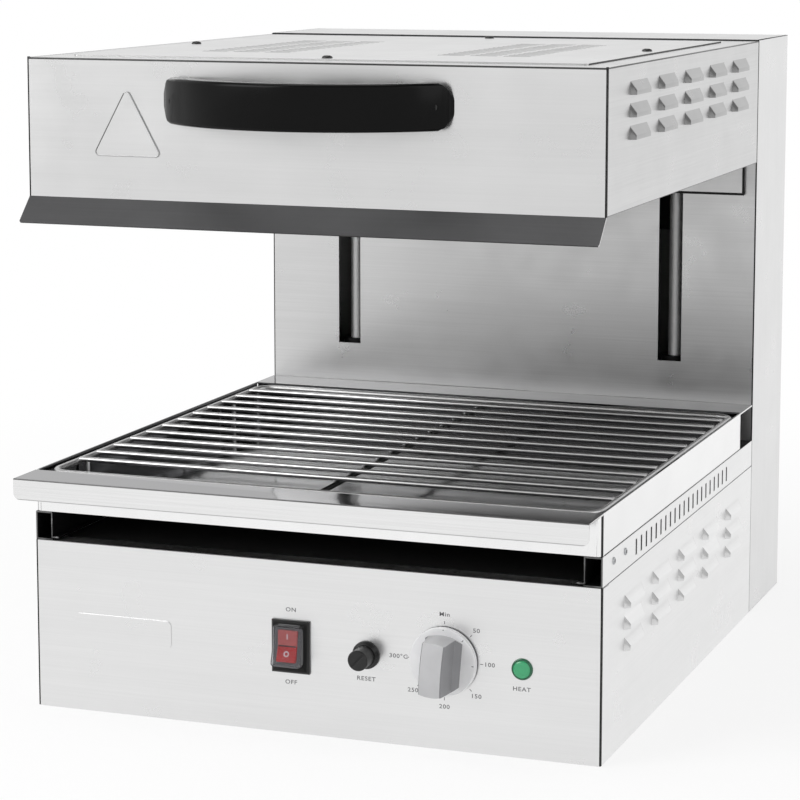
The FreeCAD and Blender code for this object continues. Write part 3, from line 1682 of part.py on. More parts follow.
base_plate()
control_panel()
side_panel(-1, "side_panel_left")
side_panel(1, "side_panel_right")
deck_plate()
runner(-1, "runner_left")
runner(1, "runner_right")
runner_screws()
column_front()
column_side(-1, "column_side_left")
column_side(1, "column_side_right")
column_top()
rear_cover()
rear_cover_screws()
rod_bracket("rod_bracket_lower", lower_bracket_top)
rod_bracket("rod_bracket_upper", upper_bracket_top)
guide_rods()
stop_buffers()
lift_springs()
switch_housing()
switch_rocker()
switch_boot()
limiter_body()
limiter_nut()
reset_button()
reset_cap()
thermostat_body()
thermostat_shaft()
control_knob()
pilot_lamp()
cable_gland()
terminal_block()
hood_front()
hood_side(-1, "hood_side_left")
hood_side(1, "hood_side_right")
hood_rear()
hood_back_shield()
hood_cover()
hood_cover_screws()
reflector()
hood_insulation()
for element_number, element_leg_pair in enumerate(element_legs(), start=1):
    heating_element(element_number, element_leg_pair)
element_rails()
hood_handle()
handle_screws()
slide_block(-1, "slide_block_left")
slide_block(1, "slide_block_right")
rod_bushings()
arm_bolts()
carriage_bar()
drip_pan()
grid_frame()
grid_cross_rods()

doc.recompute()

faults = []
for thing in doc.Objects:
    if {"Invalid", "Error"} & set(thing.State):
        owner = thing.getParentGeoFeatureGroup()
        faults.append(f"{owner.Label if owner else ''} {thing.Name} {thing.State}")
for body in pieces:
    if body.Shape.isNull() or not body.Shape.isValid() or not body.Shape.Solids:
        faults.append(f"{body.Label} has no valid solid")
if faults:
    raise RuntimeError("\n".join(faults))

os.makedirs("parts", exist_ok=True)
for body in pieces:
    body.Shape.exportStep(f"parts/{body.Label}.step")
print(f"{len(pieces)} nodes, {sum(len(body.Shape.Solids) for body in pieces)} solids")
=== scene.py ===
"""Looks of a rise-and-fall countertop grill: finishes, dressed pieces and studio."""

import logging
import math
from dataclasses import dataclass, field
from enum import Enum
from typing import Callable, Iterable, Sequence

import bmesh
import bpy
from mathutils import Matrix, Vector


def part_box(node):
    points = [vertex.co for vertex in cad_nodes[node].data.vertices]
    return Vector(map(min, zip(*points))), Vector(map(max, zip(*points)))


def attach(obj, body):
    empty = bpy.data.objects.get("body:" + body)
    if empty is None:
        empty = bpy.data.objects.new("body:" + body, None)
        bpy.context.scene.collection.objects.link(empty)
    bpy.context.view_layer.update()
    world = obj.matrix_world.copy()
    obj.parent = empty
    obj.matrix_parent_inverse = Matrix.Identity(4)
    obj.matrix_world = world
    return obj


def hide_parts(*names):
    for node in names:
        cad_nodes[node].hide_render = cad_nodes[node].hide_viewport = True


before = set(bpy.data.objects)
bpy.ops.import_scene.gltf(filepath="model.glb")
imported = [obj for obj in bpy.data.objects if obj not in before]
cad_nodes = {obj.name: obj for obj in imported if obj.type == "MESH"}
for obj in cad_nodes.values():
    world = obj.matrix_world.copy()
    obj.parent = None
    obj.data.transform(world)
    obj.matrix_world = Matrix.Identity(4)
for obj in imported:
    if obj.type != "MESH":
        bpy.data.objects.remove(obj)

log = logging.getLogger("grill")

MM = 0.001
HALF_WIDTH = 0.225  # of the box, the hood and the pan
FRONT = -0.291  # Y of the panel's and the hood's faces
BACK = -FRONT  # Y of the rear cover's face
HOOD_TOP = 0.5
DIAL = (0.1065, 0.0668)  # X and Z of the knob's axis
HAIR = 0.0001  # beyond a face, so that all on it counts

Face = bmesh.types.BMFace
Edge = bmesh.types.BMEdge
Vert = bmesh.types.BMVert
Socket = bpy.types.NodeSocket
Numbers = Sequence[float]
Colour = float | Numbers


class Axis(Enum):
    """The row frame's three directions."""

    X = Vector((1, 0, 0))
    Y = Vector((0, 1, 0))
    Z = Vector((0, 0, 1))


class Body(Enum):
    """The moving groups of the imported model."""

    BASE = "base"
    HOOD = "hood"
    PAN = "pan"
    GRID = "grid"
    KNOB = "knob"
    ROCKER = "rocker"
    CAP = "cap"
    BUTTON = "button"


# Node graphs of the finishes


def add_node(nodes: bpy.types.Nodes, kind: str, **values: float | Numbers) -> bpy.types.Node:
    """Adds a node and sets its sockets.

    Args:
        nodes: the tree's nodes.
        kind: the node's type.
        values: socket names, with underscores for spaces, and what they hold.

    Returns:
        The node.
    """
    node = nodes.new(kind)
    for name, value in values.items():
        node.inputs[name.replace("_", " ")].default_value = value
    return node


class Graph:
    """One material's node graph around a Principled shader."""

    def __init__(self, name: str) -> None:
        """Starts the material.

        Args:
            name: the material's name.
        """
        self.material = bpy.data.materials.new(name)
        self.material.use_nodes = True
        self.nodes = self.material.node_tree.nodes
        self.links = self.material.node_tree.links
        self.shader = self.nodes["Principled BSDF"]
        self.place = self.nodes.new("ShaderNodeTexCoord").outputs["Object"]

    def set(self, **values: float | Numbers) -> None:
        """Sets the shader's own sockets, named with underscores for spaces.

        Args:
            values: socket names and what they hold.
        """
        for name, value in values.items():
            socket = self.shader.inputs[name.replace("_", " ")]
            socket.default_value = (*value, 1) if isinstance(value, tuple) else value

    def join(self, source: Socket, target: Socket) -> None:
        """Links an output to an input."""
        self.links.new(source, target)

    def stretched(self, scale: Numbers) -> Socket:
        """Scales the piece's coordinates.

        Args:
            scale: repeats per metre along each axis.

        Returns:
            The scaled vector.
        """
        mapping = add_node(self.nodes, "ShaderNodeMapping", Scale=scale)
        self.join(self.place, mapping.inputs["Vector"])
        return mapping.outputs["Vector"]

    def noise(self, scale: Numbers, detail: float = 2.0, roughness: float = 0.5) -> Socket:
        """Makes a noise with its own scale along each axis.

        Args:
            scale: repeats per metre along each axis.
            detail: octaves.
            roughness: how strong the finer octaves are.

        Returns:
            The noise's value.
        """
        values = {"Scale": 1.0, "Detail": detail, "Roughness": roughness}
        noise = add_node(self.nodes, "ShaderNodeTexNoise", **values)
        self.join(self.stretched(scale), noise.inputs["Vector"])
        return noise.outputs["Fac"]

    def spread(self, source: Socket, low: float, high: float) -> Socket:
        """Maps a noise's useful middle onto a range.

        Args:
            source: the noise.
            low: result at the noise's low end.
            high: result at its high end.

        Returns:
            The mapped value.
        """
        ends = {"From_Min": 0.3, "From_Max": 0.7, "To_Min": low, "To_Max": high}
        mapped = add_node(self.nodes, "ShaderNodeMapRange", **ends)
        self.join(source, mapped.inputs["Value"])
        return mapped.outputs["Result"]

    def blend(self, share: Socket, first: Colour | Socket, second: Colour | Socket) -> Socket:
        """Mixes two colours by a share.

        Args:
            share: 0 for the first colour, 1 for the second.
            first: a colour or an output.
            second: a colour or an output.

        Returns:
            The mixed colour.
        """
        mix = self.nodes.new("ShaderNodeMix")
        mix.data_type = "RGBA"
        self.join(share, mix.inputs["Factor"])
        for socket, colour in ((mix.inputs[6], first), (mix.inputs[7], second)):
            if isinstance(colour, Socket):
                self.join(colour, socket)
            else:
                socket.default_value = (*rgb(colour), 1)
        return mix.outputs[2]

    def relief(self, height: Socket, strength: float, depth: float) -> None:
        """Gives the surface a bump, on top of any it has.

        Args:
            height: the pattern.
            strength: how much of it counts.
            depth: its height in metres.
        """
        bump = add_node(self.nodes, "ShaderNodeBump", Strength=strength, Distance=depth)
        normal = self.shader.inputs["Normal"]
        if normal.links:
            self.join(normal.links[0].from_socket, bump.inputs["Normal"])
        self.join(height, bump.inputs["Height"])
        self.join(bump.outputs["Normal"], normal)

    def colour(self, source: Socket) -> None:
        """Drives the base colour."""
        self.join(source, self.shader.inputs["Base Color"])

    def roughness(self, source: Socket) -> None:
        """Drives the roughness."""
        self.join(source, self.shader.inputs["Roughness"])


def rgb(colour: Colour) -> tuple[float, ...]:
    """The three channels of a colour, which may be given as one grey."""
    return (colour,) * 3 if isinstance(colour, float) else tuple(colour)


def shade(colour: Colour, factor: float) -> tuple[float, ...]:
    """Darkens or lightens a colour.

    Args:
        colour: the colour.
        factor: what each channel is multiplied by.

    Returns:
        The new colour, no channel over 1.
    """
    return tuple(min(1.0, c * factor) for c in rgb(colour))


@dataclass(frozen=True)
class Finish:
    """A named finish; each kind draws its own nodes."""

    name: str

    def make(self) -> bpy.types.Material:
        """Builds the material.

        Returns:
            The finished material.
        """
        g = Graph(self.name)
        self.draw(g)
        return g.material

    def draw(self, g: Graph) -> None:
        """Draws the nodes.

        Args:
            g: the material's graph.
        """
        raise NotImplementedError


@dataclass(frozen=True)
class BrushedSteel(Finish):
    """Stainless sheet with a brushed grain along one axis, faint cloudiness and wiping marks."""

    grain: Axis
    colour: Colour = (0.62, 0.62, 0.615)
    roughness: float = 0.3
    contrast: float = 0.05
    along: float = 7.0
    across: float = 650.0

    def draw(self, g: Graph) -> None:
        """Draws the nodes."""
        g.set(Metallic=1.0)
        fine = [self.across] * 3
        broad = [self.across / 9] * 3
        index = list(Axis).index(self.grain)
        fine[index] = self.along
        broad[index] = self.along / 3
        grain = g.noise(fine, 3.0, 0.65)
        bands = g.noise(broad, 2.0)
        clouds = g.noise((9, 9, 9), 3.0, 0.6)
        dark = shade(self.colour, 1 - self.contrast)
        light = shade(self.colour, 1 + self.contrast)
        streaks = g.blend(g.spread(grain, 0, 1), dark, light)
        worn = g.blend(g.spread(bands, 0, 0.35), streaks, shade(self.colour, 0.93))
        g.colour(g.blend(g.spread(clouds, 0, 0.22), worn, shade(self.colour, 1.06)))
        wiped = g.noise((22, 22, 22), 4.0, 0.6)
        g.roughness(g.spread(wiped, self.roughness - 0.04, self.roughness + 0.05))
        g.relief(grain, 0.02, 0.00003)


@dataclass(frozen=True)
class BrightSheet(Finish):
    """Nearly mirror-bright sheet with hairline scratches and a faint waviness."""

    colour: Colour = (0.6, 0.6, 0.6)
    roughness: float = 0.1
    waves: float = 0.25

    def draw(self, g: Graph) -> None:
        """Draws the nodes."""
        g.set(Metallic=1.0)
        scratches = g.noise((900, 60, 400), 4.0, 0.7)
        smears = g.noise((14, 10, 14), 4.0, 0.65)
        g.colour(g.blend(g.spread(smears, 0, 0.5), self.colour, shade(self.colour, 0.9)))
        g.roughness(g.spread(smears, self.roughness * 0.7, self.roughness * 1.6))
        g.relief(scratches, 0.05, 0.00004)
        g.relief(g.noise((5, 5, 5), 1.0), self.waves, 0.0006)


@dataclass(frozen=True)
class DrawnWire(Finish):
    """Chrome-plated wire and rod with faint drawing marks."""

    colour: Colour = (0.72, 0.72, 0.71)
    roughness: float = 0.14

    def draw(self, g: Graph) -> None:
        """Draws the nodes."""
        g.set(Metallic=1.0)
        marks = g.noise((260, 260, 260), 4.0, 0.7)
        g.colour(g.blend(g.spread(marks, 0, 1), shade(self.colour, 0.93), self.colour))
        g.roughness(g.spread(marks, self.roughness, self.roughness + 0.08))
        g.relief(marks, 0.08, 0.00005)


@dataclass(frozen=True)
class PlatedSteel(Finish):
    """Dull plated steel, mottled as zinc plate is."""

    colour: Colour
    roughness: float = 0.4
    mottle: float = 0.12

    def draw(self, g: Graph) -> None:
        """Draws the nodes."""
        g.set(Metallic=1.0)
        spangle = g.noise((120, 120, 120), 5.0, 0.6)
        pits = g.noise((1500, 1500, 1500), 2.0)
        light = shade(self.colour, 1 + self.mottle)
        g.colour(g.blend(g.spread(spangle, 0, 1), shade(self.colour, 1 - self.mottle), light))
        g.roughness(g.spread(spangle, self.roughness - 0.06, self.roughness + 0.08))
        g.relief(pits, 0.12, 0.00005)


@dataclass(frozen=True)
class Moulding(Finish):
    """Moulded plastic or rubber with its spark-eroded texture."""

    colour: Colour
    roughness: float = 0.4
    coat: float = 0.0
    specular: float = 0.5
    texture: float = 0.12
    texture_scale: float = 2600.0

    def draw(self, g: Graph) -> None:
        """Draws the nodes."""
        g.set(Coat_Weight=self.coat, Coat_Roughness=0.06, Specular_IOR_Level=self.specular)
        skin = g.noise([self.texture_scale] * 3, 2.0)
        flow = g.noise((35, 35, 35), 3.0, 0.6)
        g.colour(g.blend(g.spread(flow, 0, 1), shade(self.colour, 0.92), shade(self.colour, 1.08)))
        g.roughness(g.spread(flow, self.roughness - 0.03, self.roughness + 0.04))
        g.relief(skin, self.texture, 0.00004)


@dataclass(frozen=True)
class ClearMoulding(Finish):
    """Translucent moulding: a splash boot or a lens."""

    colour: Colour
    roughness: float
    transmission: float
    index: float = 1.45

    def draw(self, g: Graph) -> None:
        """Draws the nodes."""
        g.set(Transmission_Weight=self.transmission, IOR=self.index)
        haze = g.noise((180, 180, 180), 3.0)
        g.colour(g.blend(g.spread(haze, 0, 1), shade(self.colour, 0.95), self.colour))
        g.roughness(g.spread(haze, self.roughness, self.roughness + 0.08))
        g.relief(haze, 0.06, 0.0001)


@dataclass(frozen=True)
class HeatTinted(Finish):
    """Metal sheath of a heating element, straw and blue where it has run hot."""

    colour: Colour = (0.2, 0.18, 0.17)

    def draw(self, g: Graph) -> None:
        """Draws the nodes."""
        g.set(Metallic=1.0)
        tint = g.noise((16, 9, 16), 4.0, 0.65)
        scale = g.noise((700, 700, 700), 3.0)
        hot = g.blend(g.spread(tint, 0, 1), self.colour, (0.16, 0.15, 0.2))
        g.colour(g.blend(g.spread(scale, 0, 0.5), hot, (0.28, 0.22, 0.15)))
        g.roughness(g.spread(scale, 0.42, 0.6))
        g.relief(scale, 0.2, 0.00008)


@dataclass(frozen=True)
class Fibre(Finish):
    """Pressed ceramic fibre slab."""

    colour: Colour = (0.78, 0.75, 0.68)

    def draw(self, g: Graph) -> None:
        """Draws the nodes."""
        g.set(Roughness=0.95)
        hairs = g.noise((240, 700, 700), 5.0, 0.75)
        g.colour(g.blend(g.spread(hairs, 0, 1), shade(self.colour, 0.8), self.colour))
        g.relief(hairs, 0.6, 0.0006)


@dataclass(frozen=True)
class Ink(Finish):
    """Screen-printed lettering."""

    colour: Colour = (0.11, 0.11, 0.115)

    def draw(self, g: Graph) -> None:
        """Draws the nodes."""
        g.set(Roughness=0.55)
        grain = g.noise((1800, 1800, 1800), 2.0)
        g.colour(g.blend(g.spread(grain, 0, 1), self.colour, shade(self.colour, 1.5)))


FINISHES: dict[str, bpy.types.Material] = {}


def make_finishes() -> None:
    """Builds every finish of the grill, once."""
    for finish in (
        # The stainless sheets are one steel in lighter and darker copies: their greys are painted
        # light and shade for how light falls on each surface.
        BrushedSteel("steel_across", Axis.X, 0.64, contrast=0.025),
        BrushedSteel("steel_panel", Axis.X, 0.76, contrast=0.025),
        BrushedSteel("steel_back", Axis.Y, 0.62),
        # The next copy is darker: painted dark reflection on the louvres' slopes, and painted
        # shade on the triangle's bead.
        BrushedSteel("steel_louvre", Axis.Y, 0.42, contrast=0.02),
        BrushedSteel("steel_low_side", Axis.Y, 0.84, contrast=0.02),
        BrushedSteel("steel_up", Axis.Z, 0.74, contrast=0.02),
        BrushedSteel("steel_column", Axis.X, 0.6, roughness=0.3),
        # The next copy is painted shade on the pan's back flange.
        BrushedSteel("steel_flange_shade", Axis.X, 0.24),
        BrushedSteel("steel_cover", Axis.Y, 0.72, roughness=0.36),
        BrushedSteel("steel_lip", Axis.X, 0.8, roughness=0.16),
        # The fold and edge copies, near black to mid grey, are painted shade and dark reflection
        # along folds and edges.
        BrushedSteel("steel_fold", Axis.X, (0.035, 0.035, 0.036), roughness=0.4),
        BrushedSteel("steel_soft_fold", Axis.X, 0.14, roughness=0.4),
        BrushedSteel("steel_faint_fold_shade", Axis.X, 0.45, roughness=0.4),
        BrushedSteel("steel_edge", Axis.X, 0.07, roughness=0.4),
        # The next copy is painted shade on the louvres' forward ends.
        BrushedSteel("steel_louvre_end", Axis.Y, 0.2, roughness=0.4),
        BrushedSteel("steel_shade", Axis.Y, 0.66, roughness=0.5),
        # The next copy is painted dark reflection, so the visor looks evenly dark.
        BrushedSteel("steel_visor_dark_reflection", Axis.X, (0.1, 0.1, 0.102), roughness=0.6),
        # The pan's inside is painted dark, as painted reflection; its outside, next, is painted
        # lighter, as painted light.
        BrightSheet("pan_inside_dark_reflection", (0.16, 0.16, 0.165), roughness=0.08),
        BrightSheet("pan_outside", 0.9, roughness=0.14, waves=0.1),
        BrightSheet("reflector_bright", (0.42, 0.41, 0.4), roughness=0.2),
        DrawnWire("grid_chrome", 0.62, roughness=0.3),
        DrawnWire("grid_bar_chrome", 0.6, roughness=0.36),
        # The next is chrome painted near black, as painted shade on the middle rod.
        DrawnWire("grid_middle_dark", 0.02, roughness=0.3),
        # The next chrome is painted lighter than chrome is, as painted light, so the guide rods
        # look bright in their slots.
        DrawnWire("rod_chrome", 0.95, roughness=0.6),
        PlatedSteel("zinc", (0.42, 0.43, 0.44)),
        # The next finish also paints shade inside the runners' channels.
        PlatedSteel("dark_plate_and_shade", (0.03, 0.03, 0.031), roughness=0.55),
        PlatedSteel("screw_dark", 0.05, roughness=0.35),
        PlatedSteel("screw_bright", 0.5, roughness=0.28),
        PlatedSteel("bronze", (0.52, 0.34, 0.15), roughness=0.35),
        PlatedSteel("spring_steel", (0.3, 0.3, 0.31), roughness=0.3),
        Moulding("black_gloss", 0.003, roughness=0.2, specular=0.1, texture=0.02),
        Moulding("black_satin", 0.012, roughness=0.4, specular=0.35),
        Moulding("black_rubber", 0.012, roughness=0.7, specular=0.2),
        # The knob's three greys are one plastic, painted lighter and darker for how light falls;
        # the darkest is painted shade on the flanks and the skirt's back ring.
        Moulding("knob_face", (0.5, 0.5, 0.51), roughness=0.34),
        Moulding("knob_skirt_grey", (0.82, 0.82, 0.83), roughness=0.3),
        Moulding("knob_flank_shaded", (0.24, 0.24, 0.25), roughness=0.36),
        Moulding("rocker_red", (0.62, 0.008, 0.008), roughness=0.25, coat=0.3),
        # The next red is paler, for the rocker's upper half.
        Moulding("rocker_upper_pale", (0.62, 0.12, 0.11), roughness=0.35),
        Moulding("rocker_mark", (0.95, 0.75, 0.75), roughness=0.4),
        Moulding("white_block", (0.72, 0.72, 0.68), roughness=0.5),
        ClearMoulding("boot_clear", (0.72, 0.72, 0.74), 0.04, 0.97, 1.08),
        Moulding("smoky_skirt", (0.15, 0.15, 0.152), roughness=0.45, specular=0.3),
        Moulding("lamp_green", (0.035, 0.36, 0.15), roughness=0.16, coat=0.4),
        Moulding("lamp_rim", (0.012, 0.11, 0.05), roughness=0.3),
        # The next black is painted shade: strips over the seams and gaps, and the screws' recess
        # crosses.
        Moulding("seal_black", 0.012, roughness=0.6, specular=0.2),
        HeatTinted("element_sheath"),
        Fibre("fibre"),
        Ink("ink"),
    ):
        FINISHES[finish.name] = finish.make()


# Shapes


def add_object(name: str, data: bpy.types.ID) -> bpy.types.Object:
    """Makes an object and adds it to the scene.

    Args:
        name: its name.
        data: its mesh, curve, camera or lamp.

    Returns:
        The object.
    """
    thing = bpy.data.objects.new(name, data)
    bpy.context.scene.collection.objects.link(thing)
    return thing


def mid(face: Face) -> Vector:
    """The middle of a face."""
    return face.calc_center_median()


@dataclass
class Shape:
    """A mesh in the making, in metres in the row frame."""

    mesh: bmesh.types.BMesh = field(default_factory=bmesh.new)
    soft: set[Face] = field(default_factory=set)
    broad: float = math.inf  # faces above this area keep their own flat shading

    def turned(
        self, profile: Sequence[tuple[float, float]], centre: Vector, axis: Axis, steps: int
    ) -> None:
        """Turns a profile about an axis, as on a lathe.

        Args:
            profile: pairs of radius and place along the axis, from the middle of one end to
                the middle of the other.
            centre: where the axis passes.
            axis: the axis.
            steps: parts of a full turn.
        """
        along = axis.value
        out = Axis.X.value if axis is not Axis.X else Axis.Y.value
        made = [self.mesh.verts.new(centre + out * r + along * h) for r, h in profile]
        edges = [self.mesh.edges.new(pair) for pair in zip(made, made[1:])]
        bmesh.ops.spin(
            self.mesh,
            geom=made + edges,
            cent=centre,
            axis=along,
            angle=math.tau,
            steps=steps,
            use_merge=True,
        )
        self.merge(1e-7)
        self.outward()

    def outward(self) -> None:
        """Turns every face outward."""
        bmesh.ops.recalc_face_normals(self.mesh, faces=self.mesh.faces)

    def merge(self, reach: float) -> None:
        """Welds vertices that lie within a reach of each other."""
        bmesh.ops.remove_doubles(self.mesh, verts=self.mesh.verts, dist=reach)

    def part(self, place: Numbers, normal: Vector, clear: bool = False) -> None:
        """Cuts the mesh with a plane.

        Args:
            place: a point of the plane.
            normal: the plane's normal.
            clear: whether what lies beyond the plane goes.
        """
        bmesh.ops.bisect_plane(
            self.mesh,
            geom=self.mesh.verts[:] + self.mesh.edges[:] + self.mesh.faces[:],
            plane_co=place,
            plane_no=normal,
            clear_outer=clear,
        )

    def block(self, low: Numbers, high: Numbers) -> list[Vert]:
        """Adds a box between two corners.

        Args:
            low: lowest corner.
            high: highest corner.

        Returns:
            Its vertices.
        """
        low, high = Vector(low), Vector(high)
        place = Matrix.Translation((low + high) / 2) @ Matrix.Diagonal((*(high - low), 1))
        return bmesh.ops.create_cube(self.mesh, size=1.0, matrix=place)["verts"]

    def plate(self, points: Sequence[Numbers], thrust: Numbers) -> None:
        """Raises an outline into a plate.

        Args:
            points: the outline's corners.
            thrust: how far and which way it is raised.
        """
        corners = [self.mesh.verts.new(p) for p in points]
        self.thicken(self.mesh.faces.new(corners), thrust)

    def thicken(self, face: Face, thrust: Numbers) -> None:
        """Raises a face into a solid.

        Args:
            face: the face.
            thrust: how far and which way it is raised.
        """
        raised = bmesh.ops.extrude_face_region(self.mesh, geom=[face], use_keep_orig=True)
        moved = [e for e in raised["geom"] if isinstance(e, Vert)]
        bmesh.ops.translate(self.mesh, verts=moved, vec=Vector(thrust))
        self.outward()

    def soften(
        self,
        width: float,
        segments: int = 2,
        degrees: float = 40.0,
        wanted: Callable[[Edge], bool] = lambda edge: True,
    ) -> None:
        """Rounds the sharp edges.

        Args:
            width: the bevel's width.
            segments: its steps.
            degrees: an edge counts as sharp above this turn.
            wanted: picks among the sharp edges.
        """
        edges = [
            e
            for e in self.mesh.edges
            if len(e.link_faces) == 2
            and e.calc_face_angle(0.0) > math.radians(degrees)
            and wanted(e)
        ]
        rounded = bmesh.ops.bevel(
            self.mesh,
            geom=edges,
            offset=width,
            segments=segments,
            profile=0.5,
            affect="EDGES",
            material=-1,
            clamp_overlap=True,
        )
        self.soft.update(rounded["faces"])

    def paint(self, index: int, wanted: Callable[[Face], bool]) -> None:
        """Gives faces one of the piece's finishes.

        Args:
            index: the finish's place in the piece's list.
            wanted: picks the faces.
        """
        self.mesh.normal_update()
        for face in self.mesh.faces:
            if wanted(face):
                face.material_index = index

    def crease(self, degrees: float) -> None:
        """Keeps shading sharp across edges, except beside a rounding.

        Args:
            degrees: an edge counts as sharp above this turn.
        """
        self.mesh.normal_update()
        for edge in self.mesh.edges:
            sharp = edge.calc_face_angle(0.0) > math.radians(degrees)
            rounded = any(f in self.soft for f in edge.link_faces)
            broad = any(f.calc_area() > self.broad for f in edge.link_faces)
            edge.smooth = (rounded or not sharp) and not broad
        for face in self.mesh.faces:
            face.smooth = True

    def baked(self, name: str) -> bpy.types.Mesh:
        """Closes the mesh.

        Args:
            name: the name of its data.

        Returns:
            The data.
        """
        data = bpy.data.meshes.new(name)
        self.mesh.to_mesh(data)
        self.mesh.free()
        return data

    def piece(
        self,
        name: str,
        body: Body,
        materials: str | Sequence[str],
        slot: str,
        replaces: Sequence[str] = (),
        degrees: float = 35.0,
        weighted: bool = False,
    ) -> None:
        """Closes the mesh and makes it a piece of the scene.

        Args:
            name: the piece's name.
            body: the CAD body that it rides on.
            materials: its finish, or its finishes in the order that paint counts them.
            slot: the record's material slot; not used.
            replaces: CAD nodes that it stands for.
            degrees: edges turning less than this shade smoothly.
            weighted: whether large flat faces stay flat beside their roundings.
        """
        self.crease(degrees)
        data = self.baked(name)
        for finish in [materials] if isinstance(materials, str) else materials:
            data.materials.append(FINISHES[finish])
        thing = add_object(name, data)
        if weighted:
            flat = thing.modifiers.new("flat faces", "WEIGHTED_NORMAL")
            flat.keep_sharp = True
        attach(thing, body.value)
        if replaces:
            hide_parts(*replaces)
        log.info("made %s on %s, %d faces", name, body.value, len(data.polygons))

    def sheet(self, node: str, body: Body, *finishes: str) -> None:
        """Makes the mesh the piece that stands for a CAD sheet.

        Args:
            node: the CAD node.
            body: the CAD body that it rides on.
            finishes: its finishes in the order that paint counts them.
        """
        crease = 12.0
        slot = "brushed_stainless"
        self.piece(f"{node}_sheet", body, finishes, slot, [node], crease, True)


@dataclass
class Wire:
    """A round wire that is drawn straight and bent, as on a bending jig."""

    shape: Shape
    start: Vector
    heading: Vector
    radius: float
    sides: int = 12
    rim: list[Edge] = field(default_factory=list)
    first: list[Edge] = field(default_factory=list)

    def __post_init__(self) -> None:
        """Sets the wire's first end."""
        turn = self.heading.to_track_quat("Z", "Y").to_matrix().to_4x4()
        ring = bmesh.ops.create_circle(
            self.shape.mesh,
            segments=self.sides,
            radius=self.radius,
            matrix=Matrix.Translation(self.start) @ turn,
        )["verts"]
        self.rim = list({e for v in ring for e in v.link_edges})
        self.first = list(self.rim)

    def straight(self, run: Vector) -> "Wire":
        """Draws a straight length.

        Args:
            run: which way and how far.

        Returns:
            The wire.
        """
        made = bmesh.ops.extrude_edge_only(self.shape.mesh, edges=self.rim)["geom"]
        moved = [e for e in made if isinstance(e, Vert)]
        bmesh.ops.translate(self.shape.mesh, verts=moved, vec=run)
        self.rim = [e for e in made if isinstance(e, Edge)]
        return self

    def bend(
        self,
        centre: Vector,
        axis: Vector,
        degrees: float,
        steps: int,
        climb: Vector = Vector((0, 0, 0)),
    ) -> "Wire":
        """Bends the wire about a centre.

        Args:
            centre: the bend's centre.
            axis: the bend's axis.
            degrees: how far it turns.
            steps: its parts.
            climb: how far each step moves along the axis, for a coil.

        Returns:
            The wire.
        """
        ring = list({v for e in self.rim for v in e.verts})
        made = bmesh.ops.spin(
            self.shape.mesh,
            geom=ring + self.rim,
            cent=centre,
            axis=axis,
            dvec=climb,
            angle=math.radians(degrees),
            steps=steps,
        )["geom_last"]
        self.rim = [e for e in made if isinstance(e, Edge)]
        return self

    def join(self) -> None:
        """Welds the wire's last end onto its first."""
        self.shape.merge(2e-6)
        self.shape.outward()

    def close(self) -> None:
        """Caps both ends."""
        for rim in (self.first, self.rim):
            bmesh.ops.contextual_create(self.shape.mesh, geom=rim)
        self.shape.outward()


def arc(shape: Shape, start: Vector, centre: Vector, degrees: float, steps: int) -> list[Vert]:
    """Spins a point in plan into a run of vertices.

    Args:
        shape: the mesh that it goes into.
        start: the first point.
        centre: the arc's centre.
        degrees: how far it turns about +Z.
        steps: its parts.

    Returns:
        The vertices in order.
    """
    first = shape.mesh.verts.new(start)
    run = [first]
    before = set(shape.mesh.verts)
    bmesh.ops.spin(
        shape.mesh,
        geom=[first],
        cent=centre,
        axis=Axis.Z.value,
        angle=math.radians(degrees),
        steps=steps,
    )
    shape.mesh.verts.ensure_lookup_table()
    run += [v for v in shape.mesh.verts if v not in before]
    return run


def folded_copy(node: str, radius: float, degrees: float = 50.0, least: float = 3.0) -> Shape:
    """Copies a CAD sheet and rounds its folds, as a press brake leaves them.

    Args:
        node: the CAD node.
        radius: the fold's outer radius, in metres.
        degrees: turn above which an edge is a fold.
        least: both faces beside a fold are wider than this, in millimetres.

    Returns:
        The copy.
    """
    shape = Shape()
    shape.mesh.from_mesh(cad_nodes[node].data)
    for face in shape.mesh.faces:
        face.material_index = 0
    shape.merge(1e-6)
    flat = math.radians(0.6)
    verts, edges = shape.mesh.verts, shape.mesh.edges
    bmesh.ops.dissolve_limit(shape.mesh, angle_limit=flat, verts=verts, edges=edges)

    def fold(edge: Edge) -> bool:
        """True between two broad faces, on the outside of the bend."""
        length = edge.calc_length()
        if length < 8 * MM or not edge.is_convex:
            return False
        return all(face.calc_area() / length > least * MM for face in edge.link_faces)

    shape.soften(radius, 3, degrees, fold)
    return shape


def dress(finish: str, *nodes: str) -> None:
    """Gives CAD nodes their finish.

    Args:
        finish: the finish's name.
        nodes: the nodes' names.
    """
    for node in nodes:
        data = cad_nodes[node].data
        data.materials.clear()
        data.materials.append(FINISHES[finish])
        log.info("dressed %s in %s", node, finish)


# Sub-assemblies


